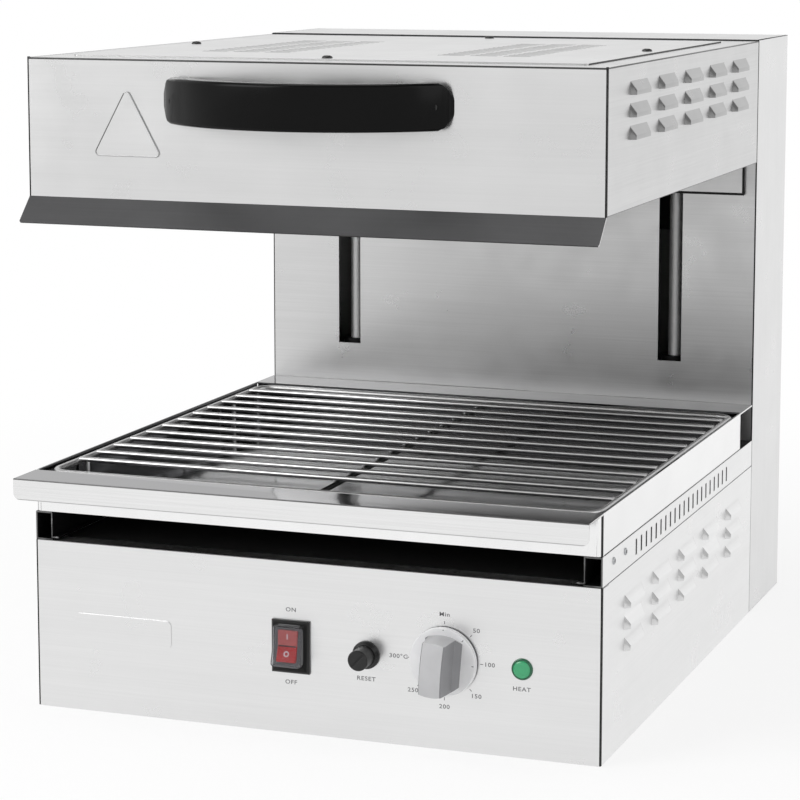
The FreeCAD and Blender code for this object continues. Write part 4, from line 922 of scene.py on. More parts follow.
@dataclass
class Cabinet:
    """Control box and runners."""

    top: float = 0.131
    fold_radius: float = 0.0009

    def build(self) -> None:
        """Makes the folded sheets and the dark corner strips of painted shade."""
        steel = "brushed_stainless"
        shape = folded_copy("control_panel", self.fold_radius)
        # Rounded folds are painted darker: painted shade and dark reflection.
        shape.paint(1, lambda f: f in shape.soft)
        shape.sheet("control_panel", Body.BASE, "steel_panel", "steel_soft_fold")
        for side in ("left", "right"):
            node = f"side_panel_{side}"
            shape = folded_copy(node, self.fold_radius)
            # Folds, the top fold and the louvre ends are painted darker: painted shade and dark
            # reflection.
            shape.paint(1, lambda f: f in shape.soft)
            shape.paint(2, lambda f: f in shape.soft and mid(f).z > self.top - 0.003)
            shape.paint(3, louvre_end)
            finishes = "steel_low_side", "steel_faint_fold_shade", "steel_fold", "steel_shade"
            shape.sheet(node, Body.BASE, *finishes)
            node = f"runner_{side}"
            shape = folded_copy(node, 0.0003, 60, 2.0)
            # The runner's front end is painted darker and its channel's inside near black: painted
            # shade.
            shape.paint(1, lambda f: mid(f).y < FRONT + 0.0005)
            shape.paint(2, self.inside_channel)
            finishes = ["steel_low_side", "steel_soft_fold", "dark_plate_and_shade"]
            shape.piece(f"{node}_channel", Body.BASE, finishes, steel, [node], 12, True)
        corner_shade_strips("panel_corner_shade", Body.BASE, 0.0004, self.top - 0.0002)

    def inside_channel(self, face: Face) -> bool:
        """True on a runner's inner faces, which no light reaches."""
        at = mid(face)
        return at.y > FRONT + 0.0005 and abs(at.x) < HALF_WIDTH - 0.0006

    def dress(self) -> None:
        """Finishes the nodes that stay as they are."""
        dress("zinc", "base_plate", "thermostat_body")
        dress("black_rubber", "deck_plate")
        dress("black_satin", "limiter_body", "lamp_holder", "cable_gland")
        dress("white_block", "terminal_block")
        dress("screw_bright", "thermostat_shaft")


def corner_shade_strips(name: str, body: Body, low: float, high: float) -> None:
    """Lays dark strips along both upright front corners: painted shade of the seams' gaps and cut
    edges.

    Args:
        name: the start of the pieces' names.
        body: the body that they ride on.
        low: Z of their lower ends.
        high: Z of their upper ends.
    """
    proud, wide, deep = 0.00012, 0.0014, 0.0026
    for side, end in ((-1, "left"), (1, "right")):
        shape = Shape()
        outer = side * (HALF_WIDTH + proud)
        inner = outer - side * wide
        face = FRONT - proud
        shape.block((min(outer, inner), face, low), (max(outer, inner), face + deep, high))
        shape.soften(0.0004, 3, 40, lambda e: abs(e.verts[0].co.z - e.verts[1].co.z) > 0.01)
        shape.piece(f"{name}_{end}", body, "seal_black", "black_rubber", degrees=30)


def louvre_end(face: Face) -> bool:
    """True on the forward end of a pressed louvre."""
    return abs(mid(face).x) > HALF_WIDTH + 0.0002 and face.normal.y < -0.5


@dataclass
class Column:
    """Rear column with its guide rods, brackets and springs."""

    fold_radius: float = 0.0006
    coil_count: int = 20
    coil_steps: int = 16
    wire: float = 0.0010

    def build(self) -> None:
        """Makes the column's sheets, vent screen, rods and springs."""
        for node, finish in (
            ("column_side_left", "steel_up"),
            ("column_side_right", "steel_up"),
            ("column_top", "steel_cover"),
        ):
            shape = folded_copy(node, self.fold_radius, least=0.5)
            # Folds and forward faces are painted near black: painted shade and dark reflection
            # along the edges.
            shape.paint(1, lambda f: f in shape.soft)
            shape.paint(1, lambda f: f.normal.y < -0.9 and f.calc_area() > 1e-5)
            shape.sheet(node, Body.BASE, finish, "steel_fold")
        self.screen()
        for side in ("left", "right"):
            self.spring(f"lift_spring_{side}")
            self.rod(f"guide_rod_{side}")

    def screen(self) -> None:
        """Sets a dark screen with a pressed rim inside the rear cover's vents."""
        low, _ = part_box("rear_cover")
        face = low.y - 0.0004
        shape = Shape()
        half, foot, top = 0.168, 0.322, 0.442
        shape.block((-half, face - 0.0008, foot), (half, face, top))
        front = [f for f in shape.mesh.faces if f.normal.y < -0.9]
        bmesh.ops.inset_region(shape.mesh, faces=front, thickness=0.006, depth=0.0015)
        shape.soften(0.0003)
        shape.piece("vent_screen", Body.BASE, "black_satin", "black_moulded")

    def spring(self, node: str) -> None:
        """Winds a counterbalance spring between its ends.

        Args:
            node: the CAD node that it stands for.
        """
        low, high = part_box(node)
        middle = (low + high) / 2
        shape = Shape()
        radius = (high.x - low.x) / 2 - self.wire
        foot = low.z + self.wire + 0.0004
        rise = high.z - low.z - 2 * self.wire - 0.0008
        steps = self.coil_count * self.coil_steps
        start = Vector((middle.x + radius, middle.y, foot))
        coil = Wire(shape, start, Axis.Y.value, self.wire, 8)
        centre = Vector((middle.x, middle.y, foot))
        climb = Axis.Z.value * (rise / steps)
        coil.bend(centre, Axis.Z.value, 360 * self.coil_count, steps, climb)
        coil.close()
        shape.piece(f"{node}_coil", Body.BASE, "spring_steel", "spring_steel", [node], 50)

    def rod(self, node: str) -> None:
        """Turns a guide rod with chamfered ends.

        Args:
            node: the CAD node that it stands for.
        """
        low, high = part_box(node)
        radius = (high.x - low.x) / 2
        rise = high.z - low.z
        foot = Vector(((low.x + high.x) / 2, (low.y + high.y) / 2, low.z))
        edge = 0.0008
        profile = [(0, 0), (radius - edge, 0), (radius, edge)]
        profile += [(radius, rise - edge), (radius - edge, rise), (0, rise)]
        shape = Shape()
        shape.turned(profile, foot, Axis.Z, 40)
        shape.piece(f"{node}_turned", Body.BASE, "rod_chrome", "chromed_rod", [node], 30)

    def dress(self) -> None:
        """Finishes the nodes that stay as they are."""
        dress("steel_column", "column_front")
        dress("steel_across", "rear_cover")
        dress("dark_plate_and_shade", "rod_bracket_lower")
        dress("zinc", "rod_bracket_upper")
        dress("black_rubber", "stop_buffers")


@dataclass
class Hood:
    """Sliding hood with its louvres, cover, elements and carriage."""

    bottom: float = 0.395
    top: float = HOOD_TOP
    fold_radius: float = 0.0010

    def build(self) -> None:
        """Makes the hood's folded sheets and the dark corner strips of painted shade."""
        steel = "brushed_stainless"
        shape = folded_copy("hood_front", self.fold_radius)
        shape.broad = 0.002
        # The rounding above the visor is painted near black and the visor dark: painted dark
        # reflection.
        shape.paint(1, self.front_fold)
        shape.paint(2, lambda f: abs(f.normal.z) > 0.6 and abs(f.normal.y) > 0.6)
        finishes = ["steel_across", "steel_fold", "steel_visor_dark_reflection"]
        shape.piece("hood_front_sheet", Body.HOOD, finishes, steel, ["hood_front"], 12)
        for side in ("left", "right"):
            node = f"hood_side_{side}"
            shape = folded_copy(node, self.fold_radius)
            # Folds are painted darker; louvre slopes are painted dark reflection and louvre ends
            # painted shade.
            shape.paint(1, lambda f: f in shape.soft)
            shape.paint(2, lambda f: abs(mid(f).x) > HALF_WIDTH + 0.0003)
            shape.paint(3, louvre_end)
            louvre = "steel_louvre", "steel_louvre_end"
            shape.sheet(node, Body.HOOD, "steel_back", "steel_soft_fold", *louvre)
        shape = folded_copy("hood_cover", 0.0004, 60, 0.3)
        # The cover's edges are painted dark and its front edges lighter: painted shade and dark
        # reflection.
        shape.paint(1, lambda f: abs(f.normal.z) < 0.9)
        shape.paint(2, lambda f: f.normal.y < -0.3)
        shape.sheet("hood_cover", Body.HOOD, "steel_cover", "steel_fold", "steel_faint_fold_shade")
        self.trims()
        self.triangle()
        corner_shade_strips("hood_corner_shade", Body.HOOD, self.bottom, self.top - 0.0006)

    def front_fold(self, face: Face) -> bool:
        """True on the rounding between the front and the visor."""
        at = mid(face)
        if at.y > FRONT + 0.004:
            return False
        return abs(at.z - self.bottom) < 0.003 and 0.02 < face.normal.z < 0.68

    def trims(self) -> None:
        """Adds dark strips of painted shade along the back shield's bottom and sides and in the
        rim's back gap, and darker lines of painted dark reflection along the top folds.
        """
        low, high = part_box("hood_back_shield")
        near, far = low.y - 0.0003, low.y + 0.0004
        edge = 0.0019
        shape = Shape()
        shape.block((low.x, near, low.z - 0.0002), (high.x, far, low.z + edge))
        shape.block((low.x - 0.0002, near, low.z + edge), (low.x + edge, far, high.z - 0.001))
        shape.block((high.x - edge, near, low.z + edge), (high.x + 0.0002, far, high.z - 0.001))
        shape.soften(0.0002)
        shape.piece("shield_gap_shade", Body.HOOD, "seal_black", "black_rubber")
        rim, back = 0.4988, 0.175
        strip = Shape()
        x = HALF_WIDTH - 0.001
        strip.block((-x, back - 0.0016, rim - 0.0008), (x, back + 0.0014, rim + 0.0006))
        strip.soften(0.0004, 3)
        strip.piece("rim_gap_shade", Body.HOOD, "seal_black", "black_rubber")
        x, proud = HALF_WIDTH, 0.0001
        fold_line(
            "hood_front_fold",
            Body.HOOD,
            "steel_edge",
            [((-x, FRONT - proud, rim - 0.0013), (x, FRONT + 0.0012, rim + proud))],
        )
        fold_line(
            "hood_side_folds",
            Body.HOOD,
            "steel_soft_fold",
            [
                ((x - 0.0011, FRONT + 0.0016, rim - 0.0010), (x + proud, back, rim + proud)),
                ((-x - proud, FRONT + 0.0016, rim - 0.0010), (0.0011 - x, back, rim + proud)),
            ],
        )

    def triangle(self) -> None:
        """Presses the fine bead round the raised triangle on the front, in darker steel and darker
        still on its upper left: painted shade along the triangle's edge.
        """
        shape = Shape()
        face = FRONT - 0.0008
        left, right = Vector((-0.1659, face, 0.430)), Vector((-0.1201, face, 0.430))
        peak = Vector(((left.x + right.x) / 2, face, 0.4718))
        r, turn = 0.0028, -Axis.Y.value
        lean = math.degrees(math.atan2(peak.z - right.z, right.x - peak.x))
        start = left - Axis.Z.value * r
        bead = Wire(shape, start, Axis.X.value, 0.00042, 10)
        bead.straight(right - left).bend(right, turn, 180 - lean, 8)
        bead.straight(peak - right).bend(peak, turn, 2 * lean, 8)
        bead.straight(left - peak).bend(left, turn, 180 - lean, 8)
        bead.join()
        for vert in shape.mesh.verts:
            vert.co.y = face + (vert.co.y - face) * 0.55
        shape.paint(1, lambda f: mid(f).x < peak.x - 0.002 and mid(f).z > 0.4285)
        finishes = ["steel_louvre", "steel_soft_fold"]
        shape.piece("triangle_bead", Body.HOOD, finishes, "brushed_stainless", degrees=60)

    def dress(self) -> None:
        """Finishes the nodes that stay as they are."""
        dress("zinc", "hood_rear", "slide_block_left", "slide_block_right", "carriage_bar")
        dress("steel_across", "hood_back_shield")
        dress("screw_dark", "handle_screws", "arm_bolts")
        dress("reflector_bright", "reflector", "element_rails")
        dress("fibre", "hood_insulation")
        dress("element_sheath", *[f"heating_element_{i}" for i in range(1, 5)])
        dress("bronze", "rod_bushings")


@dataclass
class Screws:
    """Domed screws, each with a flat dark cross of painted shade for its recess, where fasteners
    show.
    """

    crown: float = 0.55
    recess_reach: float = 0.52
    recess_width: float = 0.15

    def build(self) -> None:
        """Makes every set of screws."""
        self.set("hood_cover_screws", Body.HOOD, Axis.Z, 1, HOOD_TOP, "screw_dark")
        self.set("rear_cover_screws", Body.BASE, Axis.Y, 1, BACK, "screw_bright")
        self.set("runner_screws", Body.BASE, Axis.X, 0, HALF_WIDTH, "zinc")

    def set(self, node: str, body: Body, axis: Axis, way: int, face: float, finish: str) -> None:
        """Makes the heads of one node's screws.

        Args:
            node: the CAD node that they stand for.
            body: the body that they ride on.
            axis: the direction that the heads face.
            way: 1 where all face along the axis, 0 where they face outwards on both sides.
            face: the place along the axis where they seat.
            finish: the heads' finish.
        """
        heads, marks = Shape(), Shape()
        for low, high in loose_boxes(node):
            middle = (low + high) / 2
            index = list(Axis).index(axis)
            toward = 1 if way or middle[index] > 0 else -1
            across = (index + 1) % 3
            radius = (high[across] - low[across]) / 2
            tip = high[index] if toward > 0 else low[index]
            height = abs(tip) - face
            seat = middle.copy()
            seat[index] = toward * face
            sink = -0.003 if height < 0.0015 else -0.0008
            profile = [
                (0, toward * sink),
                (radius * 0.45, toward * sink),
                (radius * 0.45, 0),
                (radius, 0),
                (radius, toward * height * 0.35),
                (radius * 0.86, toward * height * 0.72),
                (radius * self.crown, toward * height * 0.97),
                (0, toward * height * 0.97),
            ]
            heads.turned(profile, seat, axis, 24)
            self.cross(marks, seat, index, radius, toward * height)
        heads.piece(f"{node}_heads", body, finish, "screw_steel", [node], 40)
        marks.piece(f"{node}_recess_shade", body, "seal_black", "screw_steel")

    def cross(self, shape: Shape, seat: Vector, index: int, radius: float, height: float) -> None:
        """Adds a flat dark cross to a head, painted shade for its recess.

        Args:
            shape: the mesh.
            seat: the middle of the head's seat.
            index: which coordinate the head faces along.
            radius: the head's radius.
            height: the head's height, with its sign.
        """
        for turn in (1, 2):
            half = Vector((0, 0, 0))
            half[index] = 0.00005
            half[(index + turn) % 3] = radius * self.recess_reach
            half[(index + 3 - turn) % 3] = radius * self.recess_width
            middle = seat.copy()
            middle[index] += height * 0.97
            verts = shape.block(middle - half, middle + half)
            bmesh.ops.rotate(
                shape.mesh,
                verts=verts,
                cent=seat,
                matrix=Matrix.Rotation(math.radians(28), 3, "XYZ"[index]),
            )


def fold_line(
    name: str, body: Body, material: str, runs: Sequence[tuple[Numbers, Numbers]]
) -> None:
    """Lays the darker line of sheet folds over their edges: painted shade and dark reflection.

    Args:
        name: the piece's name.
        body: the body that it rides on.
        material: its finish.
        runs: lowest and highest corner of each line.
    """
    shape = Shape()
    for low, high in runs:
        shape.block(low, high)
    shape.soften(0.0003)
    shape.piece(name, body, material, "brushed_stainless", degrees=60)


def back_middle(low: Vector, high: Vector) -> Vector:
    """The middle of a box's back face, where a control seats."""
    return Vector(((low.x + high.x) / 2, high.y, (low.z + high.z) / 2))


def loose_boxes(node: str) -> list[tuple[Vector, Vector]]:
    """Finds the box of each separate solid of a CAD node.

    Args:
        node: the CAD node.

    Returns:
        Each solid's lowest and highest corners.
    """
    mesh = bmesh.new()
    mesh.from_mesh(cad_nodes[node].data)
    bmesh.ops.remove_doubles(mesh, verts=mesh.verts, dist=1e-6)
    left, boxes = set(mesh.verts), []
    while left:
        front, body = [left.pop()], []
        while front:
            vert = front.pop()
            body.append(vert.co.copy())
            for edge in vert.link_edges:
                other = edge.other_vert(vert)
                if other in left:
                    left.remove(other)
                    front.append(other)
        boxes.append((Vector(map(min, *body)), Vector(map(max, *body))))
    mesh.free()
    return boxes


@dataclass
class Pan:
    """Pull-out pan: its inside painted dark, as painted reflection, and its lip and outside
    painted lighter, as painted light.
    """

    floor: float = 0.1545
    inner_half_width: float = 0.2238
    back: float = 0.1348
    rim: float = 0.1848
    lip_front: float = -0.326
    lip_low: float = 0.1688
    fold_radius: float = 0.0011

    def build(self) -> None:
        """Makes the pan's sheet and the lines of its folds."""
        shape = folded_copy("drip_pan", self.fold_radius)

        def inside(face: Face) -> bool:
            """True on the floor and the inner walls of the tub."""
            at = mid(face)
            if not (abs(at.x) < self.inner_half_width + HAIR and at.z > self.floor - HAIR):
                return False
            return FRONT + 0.0011 < at.y < self.back + HAIR

        self.part_lip(shape)
        # Painted light and shade: the inside dark reflection, the lip lighter, and the folds,
        # front corners, back flange and the lip's lower edge darker shade.
        shape.paint(1, inside)
        shape.paint(2, lambda f: mid(f).y < FRONT - 0.0011)
        shape.paint(3, lambda f: f in shape.soft and not inside(f))
        shape.paint(4, lambda f: f in shape.soft and mid(f).y < FRONT - 0.02)
        shape.paint(3, self.front_corner)
        shape.paint(5, lambda f: f.normal.z > 0.9 and mid(f).y > self.back)
        shape.paint(6, self.lip_edge)
        finishes = ["pan_outside", "pan_inside_dark_reflection", "steel_lip", "steel_fold"]
        finishes += ["steel_soft_fold", "steel_flange_shade", "steel_faint_fold_shade"]
        steel = "bright_stainless"
        shape.piece("drip_pan_sheet", Body.PAN, finishes, steel, ["drip_pan"], 12, True)
        x, rim, lip, proud = HALF_WIDTH, self.rim, self.lip_front, 0.0001
        fold_line(
            "lip_fold",
            Body.PAN,
            "steel_soft_fold",
            [((-x, lip - proud, rim - 0.0009), (x, lip + 0.0009, rim + proud))],
        )
        low, wide, start = self.floor - 0.0012, 0.0009, FRONT + 0.004
        high = low + 0.0010
        fold_line(
            "pan_bottom_folds",
            Body.PAN,
            "steel_fold",
            [
                ((-x - proud, start, low), (wide - x, self.back, high)),
                ((x - proud - wide, start, low), (x + proud, self.back, high)),
            ],
        )

    def part_lip(self, shape: Shape) -> None:
        """Parts the lip's face just above its lower edge.

        Args:
            shape: the pan's mesh.
        """
        faces = [f for f in shape.mesh.faces if mid(f).y < self.lip_front + HAIR]
        near = {e for f in faces for e in f.edges} | {v for f in faces for v in f.verts}
        bmesh.ops.bisect_plane(
            shape.mesh,
            geom=list(near) + faces,
            plane_co=(0, 0, self.lip_low + 0.0007),
            plane_no=Axis.Z.value,
        )

    def lip_edge(self, face: Face) -> bool:
        """True along the lower edge of the lip's face."""
        at = mid(face)
        return at.y < self.lip_front + HAIR and at.z < self.lip_low + 0.0007

    def front_corner(self, face: Face) -> bool:
        """True where the tub's front corners turn away from the light."""
        at = mid(face)
        outer = abs(at.x) > self.inner_half_width - 0.003 and at.y < FRONT + 0.003
        return outer and at.y > FRONT - 0.001 and 0.7 < abs(face.normal.x) < 0.9


@dataclass
class WireGrid:
    """Wire grid: a bent frame rod, a middle rod, legs and cross rods with their welds."""

    corner: float = 0.014
    frame_radius: float = 0.0025
    leg_radius: float = 0.002
    leg_inset: float = 0.062
    rod_count: int = 12
    rod_first: float = -0.2325
    rod_pitch: float = 0.0303
    rod_radius: float = 0.002

    def build(self) -> None:
        """Makes the frame and the cross rods."""
        self.frame()
        self.cross_rods()

    def frame(self) -> None:
        """Bends the frame rod round and adds the middle rod and the legs."""
        low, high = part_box("grid_frame")
        r = self.frame_radius
        left, right = low.x + r, high.x - r
        near, far = low.y + r, high.y - r
        level = high.z - r
        shape = Shape()
        c = self.corner
        up = Axis.Z.value
        start = Vector((left + c, near, level))
        wire = Wire(shape, start, Axis.X.value, r, 16)
        wide, deep = right - left - 2 * c, far - near - 2 * c
        for run, x, y in (
            (Axis.X.value * wide, right - c, near + c),
            (Axis.Y.value * deep, right - c, far - c),
            (-Axis.X.value * wide, left + c, far - c),
            (-Axis.Y.value * deep, left + c, near + c),
        ):
            wire.straight(run).bend(Vector((x, y, level)), up, 90, 8)
        wire.join()
        foot = low.z
        for x in (left, right):
            for y in (near + self.leg_inset, far - self.leg_inset):
                self.bar(shape, Vector((x, y, foot)), Axis.Z, level - foot, self.leg_radius)
        slot = "chromed_rod"
        shape.piece("grid_frame_wire", Body.GRID, "grid_bar_chrome", slot, ["grid_frame"], 40)
        rods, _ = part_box("grid_cross_rods")
        below = rods.z - self.leg_radius
        # The middle rod is painted near black: painted shade.
        middle = Shape()
        start = Vector((0, near, below))
        self.bar(middle, start, Axis.Y, far - near, self.leg_radius)
        middle.piece("grid_middle_rod", Body.GRID, "grid_middle_dark", "chromed_rod")

    def bar(self, shape: Shape, start: Vector, axis: Axis, length: float, radius: float) -> None:
        """Adds a straight rod with rounded ends.

        Args:
            shape: the mesh.
            start: the middle of its first end.
            axis: its direction.
            length: its length.
            radius: its radius.
        """
        edge = radius * 0.3
        profile = [(0, 0), (radius - edge, 0), (radius - edge * 0.3, edge * 0.3), (radius, edge)]
        profile += [(r, length - h) for r, h in profile[::-1]]
        shape.turned(profile, start, axis, 16)

    def cross_rods(self) -> None:
        """Runs the cross rods into the frame, with a weld where each one meets it."""
        low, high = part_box("grid_cross_rods")
        shape = Shape()
        level = (low.z + high.z) / 2
        overlap = 0.0012
        for i in range(self.rod_count):
            y = self.rod_first + i * self.rod_pitch
            start = Vector((low.x - overlap, y, level))
            self.bar(shape, start, Axis.X, high.x - low.x + 2 * overlap, self.rod_radius)
            for x in (low.x - overlap, high.x + overlap):
                self.weld(shape, Vector((x, y, level + 0.0004)))
            self.weld(shape, Vector((-self.leg_radius, y, level - self.rod_radius)))
        shape.piece(
            "grid_rods_welded", Body.GRID, "grid_chrome", "chromed_rod", ["grid_cross_rods"], 40
        )

    def weld(self, shape: Shape, place: Vector) -> None:
        """Adds the small swelling of a spot weld.

        Args:
            shape: the mesh.
            place: where two rods touch.
        """
        nugget = bmesh.ops.create_icosphere(
            shape.mesh, subdivisions=2, radius=0.0012, matrix=Matrix.Translation(place)
        )
        bmesh.ops.scale(
            shape.mesh,
            verts=nugget["verts"],
            vec=(1.5, 1.5, 0.6),
            space=Matrix.Translation(-place),
        )


@dataclass
class Handle:
    """Bow handle: a glossy strap that leaves the hood, bows forward and comes back."""

    half_width: float = 0.113
    reach: float = 0.056
    thickness: float = 0.013
    foot: float = 0.024
    corner: float = 0.008
    edge: float = 0.0028

    def build(self) -> None:
        """Makes the bow from two arcs in plan, raised and rounded."""
        low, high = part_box("hood_handle")
        face = high.y
        shape = Shape()
        outer = self.bow(shape, self.half_width, self.reach, face, low.z, 64)
        inner_half = self.half_width - self.foot
        inner = self.bow(shape, inner_half, self.reach - self.thickness, face, low.z, 48)
        plan = shape.mesh.faces.new(outer + inner[::-1])
        shape.thicken(plan, Axis.Z.value * (high.z - low.z))
        self.round_ends(shape, low.z, high.z)
        seat = face - 0.5 * MM

        def rim(edge: Edge) -> bool:
            """True for the edges that a hand can touch."""
            return any(v.co.y < seat for v in edge.verts)

        shape.soften(self.edge, 4, 50, rim)
        shape.piece("handle_bow", Body.HOOD, "black_gloss", "black_gloss", ["hood_handle"], 50)

    def bow(
        self, shape: Shape, half: float, rise: float, face: float, height: float, steps: int
    ) -> list[Vert]:
        """Lays out one arc of the bow in plan.

        Args:
            shape: the mesh.
            half: half the arc's chord.
            rise: how far it bows.
            face: Y of the hood's face.
            height: Z of the plan.
            steps: the arc's parts.

        Returns:
            The arc's vertices from left to right.
        """
        radius = (half * half + rise * rise) / (2 * rise)
        centre = Vector((0, face + radius - rise, height))
        span = 2 * math.degrees(math.asin(half / radius))
        return arc(shape, Vector((-half, face, height)), centre, span, steps)

    def round_ends(self, shape: Shape, low: float, high: float) -> None:
        """Draws the corners of both ends in, as seen from the front.

        Args:
            shape: the mesh.
            low: Z of the underside.
            high: Z of the top.
        """
        for vert in shape.mesh.verts:
            over = abs(vert.co.x) - (self.half_width - self.corner)
            if over > 0:
                drop = self.corner - math.sqrt(max(self.corner**2 - over**2, 0))
                vert.co.z += drop if vert.co.z < (low + high) / 2 else -drop


def stroke(shape: Shape, low: Numbers, high: Numbers, degrees: float, centre: Numbers) -> None:
    """Adds a short stroke of a dial, drawn above the middle and turned into place.

    Args:
        shape: the mesh.
        low: its lowest corner from the dial's middle.
        high: its highest corner.
        degrees: its turn clockwise from the top.
        centre: X and Z of the dial's middle.
    """
    verts = shape.block(low, high)
    turn = Matrix.Rotation(math.radians(degrees), 3, "Y")
    bmesh.ops.rotate(shape.mesh, verts=verts, cent=(0, low[1], 0), matrix=turn)
    bmesh.ops.translate(shape.mesh, verts=verts, vec=(centre[0], 0, centre[1]))


@dataclass
class Lettering:
    """Printed words, numbers and tick marks of the control panel."""

    cap_height: float = 0.0031
    stretch: float = 1.16
    thickness: float = 0.00006
    tick_radius: float = 0.0285
    number_radius: float = 0.0345
    words: tuple[tuple[str, float, float], ...] = (
        ("ON", -0.0142, 0.0940),
        ("OFF", -0.0143, 0.0388),
        ("RESET", 0.0455, 0.0473),
        ("HEAT", 0.1655, 0.0512),
    )
    dial: tuple[str, ...] = ("Min", "50", "100", "150", "200", "250", "300°C")

    def build(self) -> None:
        """Sets all the print on the panel's face."""
        shape = Shape()
        wide = 0.00026
        for text, x, z in self.words:
            self.word(shape, text, x, z)
        for i, text in enumerate(self.dial):
            turn = math.radians(45 * i)
            out = Vector((math.sin(turn), 0, math.cos(turn)))
            spot = out * (self.number_radius + (0.0012 if len(text) > 3 else 0))
            self.word(shape, text, DIAL[0] + spot.x, DIAL[1] + spot.z)
            low = (-wide, FRONT - self.thickness, self.tick_radius - 0.0011)
            high = (wide, FRONT + self.thickness, self.tick_radius + 0.0011)
            stroke(shape, low, high, 45 * i, DIAL)
        shape.piece("panel_lettering", Body.BASE, "ink", "black_moulded")

    def word(self, shape: Shape, text: str, x: float, z: float) -> None:
        """Adds one word, centred on a place.

        Args:
            shape: the mesh.
            text: the word.
            x: its middle.
            z: its middle.
        """
        curve = bpy.data.curves.new(text, "FONT")
        curve.body = text
        curve.size = self.cap_height / 0.7
        curve.align_x = "CENTER"
        curve.align_y = "CENTER"
        curve.extrude = self.thickness
        curve.offset = 0.00005
        curve.space_character = 1.12
        curve.resolution_u = 3
        writer = add_object(text, curve)
        bpy.context.view_layer.update()
        data = bpy.data.meshes.new_from_object(
            writer.evaluated_get(bpy.context.evaluated_depsgraph_get())
        )
        stand = Matrix.Translation((x, FRONT, z)) @ Matrix.Rotation(math.pi / 2, 4, "X")
        data.transform(stand @ Matrix.Diagonal((self.stretch, 1, 1, 1)))
        shape.mesh.from_mesh(data)
        bpy.data.objects.remove(writer)
        bpy.data.curves.remove(curve)
        bpy.data.meshes.remove(data)


@dataclass
class Knob:
    """Dial knob with a skirt, a flared grip bar and its index marks."""

    skirt: float = 0.0256
    skirt_height: float = 0.0045
    grip_height: float = 0.0260
    base: float = 0.0144
    ridge: float = 0.0100
    ridge_height: float = 0.0050
    top: float = 0.0084
    end: float = 0.0240
    crown_drop: float = 0.0024
    taper: float = 0.16
    rest_turn: float = 4.6

    def build(self) -> None:
        """Makes the knob."""
        _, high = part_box("control_knob")
        middle = Vector((DIAL[0], high.y, DIAL[1]))
        shape = Shape()
        shape.turned(
            [
                (0, 0),
                (self.skirt - 0.0003, 0),
                (self.skirt, -0.0003),
                (self.skirt, -0.0008),
                (self.skirt - 0.0001, -0.0030),
                (self.skirt - 0.0003, -self.skirt_height + 0.0004),
                (self.skirt - 0.0007, -self.skirt_height),
                (0, -self.skirt_height),
            ],
            middle,
            Axis.Y,
            96,
        )
        # The skirt's back ring is painted darker: painted shade in the gap to the panel.
        shape.paint(1, lambda f: mid(f).y > middle.y - 0.0009)
        finishes = ["knob_skirt_grey", "knob_flank_shaded"]
        shape.piece("knob_skirt", Body.KNOB, finishes, "grey_knob", ["control_knob"], 30)
        self.grip(middle)
        self.marks(middle)

    def grip(self, middle: Vector) -> None:
        """Raises the flared bar and trims its ends round.

        Args:
            middle: the knob's centre on its back face.
        """
        shape = Shape()
        seat = middle.y - self.skirt_height
        face = seat - self.grip_height
        x, z = middle.x, middle.z
        half = [
            (self.base, seat + 0.0002),
            (self.base - 0.0002, seat - 0.0004),
            (self.ridge, seat - self.ridge_height),
            (self.top + 0.0002, face + 0.0010),
            (self.top - 0.0006, face),
        ]
        section = [(x - px, py) for px, py in half] + [(x + px, py) for px, py in half[::-1]]
        shape.plate([(px, py, z - self.end) for px, py in section], (0, 0, 2 * self.end))
        self.trim(shape, x, z)
        self.crown(shape, z, face)
        shape.soften(0.0005, 2, 24)
        # The flanks are painted darker: painted shade.
        shape.paint(1, lambda f: abs(f.normal.x) > 0.6)
        bmesh.ops.rotate(
            shape.mesh,
            verts=shape.mesh.verts,
            cent=middle,
            matrix=Matrix.Rotation(math.radians(self.rest_turn), 3, "Y"),
        )
        finishes = ["knob_face", "knob_flank_shaded"]
        shape.piece("knob_grip", Body.KNOB, finishes, "grey_knob", degrees=30, weighted=True)

    def crown(self, shape: Shape, z: float, face: float) -> None:
        """Bows the bar's front back toward both ends, and points the ends at mid-depth.

        Args:
            shape: the mesh.
            z: the knob's axis.
            face: Y of the bar's front.
        """
        for i in range(-4, 5):
            shape.part((0, 0, z + i * self.end / 5), Axis.Z.value)
        for vert in shape.mesh.verts:
            depth = min(1.0, max(0.0, (vert.co.y - face) / self.grip_height))
            if vert.co.y < face + 0.002:
                vert.co.y += self.crown_drop * ((vert.co.z - z) / self.end) ** 2
            vert.co.z = z + (vert.co.z - z) * (1 - self.taper * abs(2 * depth - 1))

    def trim(self, shape: Shape, x: float, z: float) -> None:
        """Cuts both ends of the bar round, a small plane at a time.

        Args:
            shape: the mesh.
            x: the knob's axis.
            z: the knob's axis.
        """
        steps = 26
        for side in (-1, 1):
            for i in range(steps):
                turn = math.radians(-65 + 130 * (i + 0.5) / steps)
                normal = Vector((math.sin(turn), 0, side * math.cos(turn)))
                shape.part(Vector((x, 0, z)) + normal * self.end, normal, True)
                rim = [e for e in shape.mesh.edges if e.is_boundary]
                if rim:
                    bmesh.ops.holes_fill(shape.mesh, edges=rim)
        shape.merge(1e-6)
        shape.outward()

    def marks(self, middle: Vector) -> None:
        """Adds the index marks on the skirt.

        Args:
            middle: the knob's centre on its back face.
        """
        shape = Shape()
        face = middle.y - self.skirt_height
        for turn, low, high in ((2, 0.0238, 0.0246), (42, 0.0226, 0.0242), (92, 0.0226, 0.0242)):
            ends = (-0.0003, face - 0.00006, low), (0.0003, face + 0.0001, high)
            stroke(shape, *ends, turn, (middle.x, middle.z))
        shape.piece("knob_marks", Body.KNOB, "ink", "black_moulded")


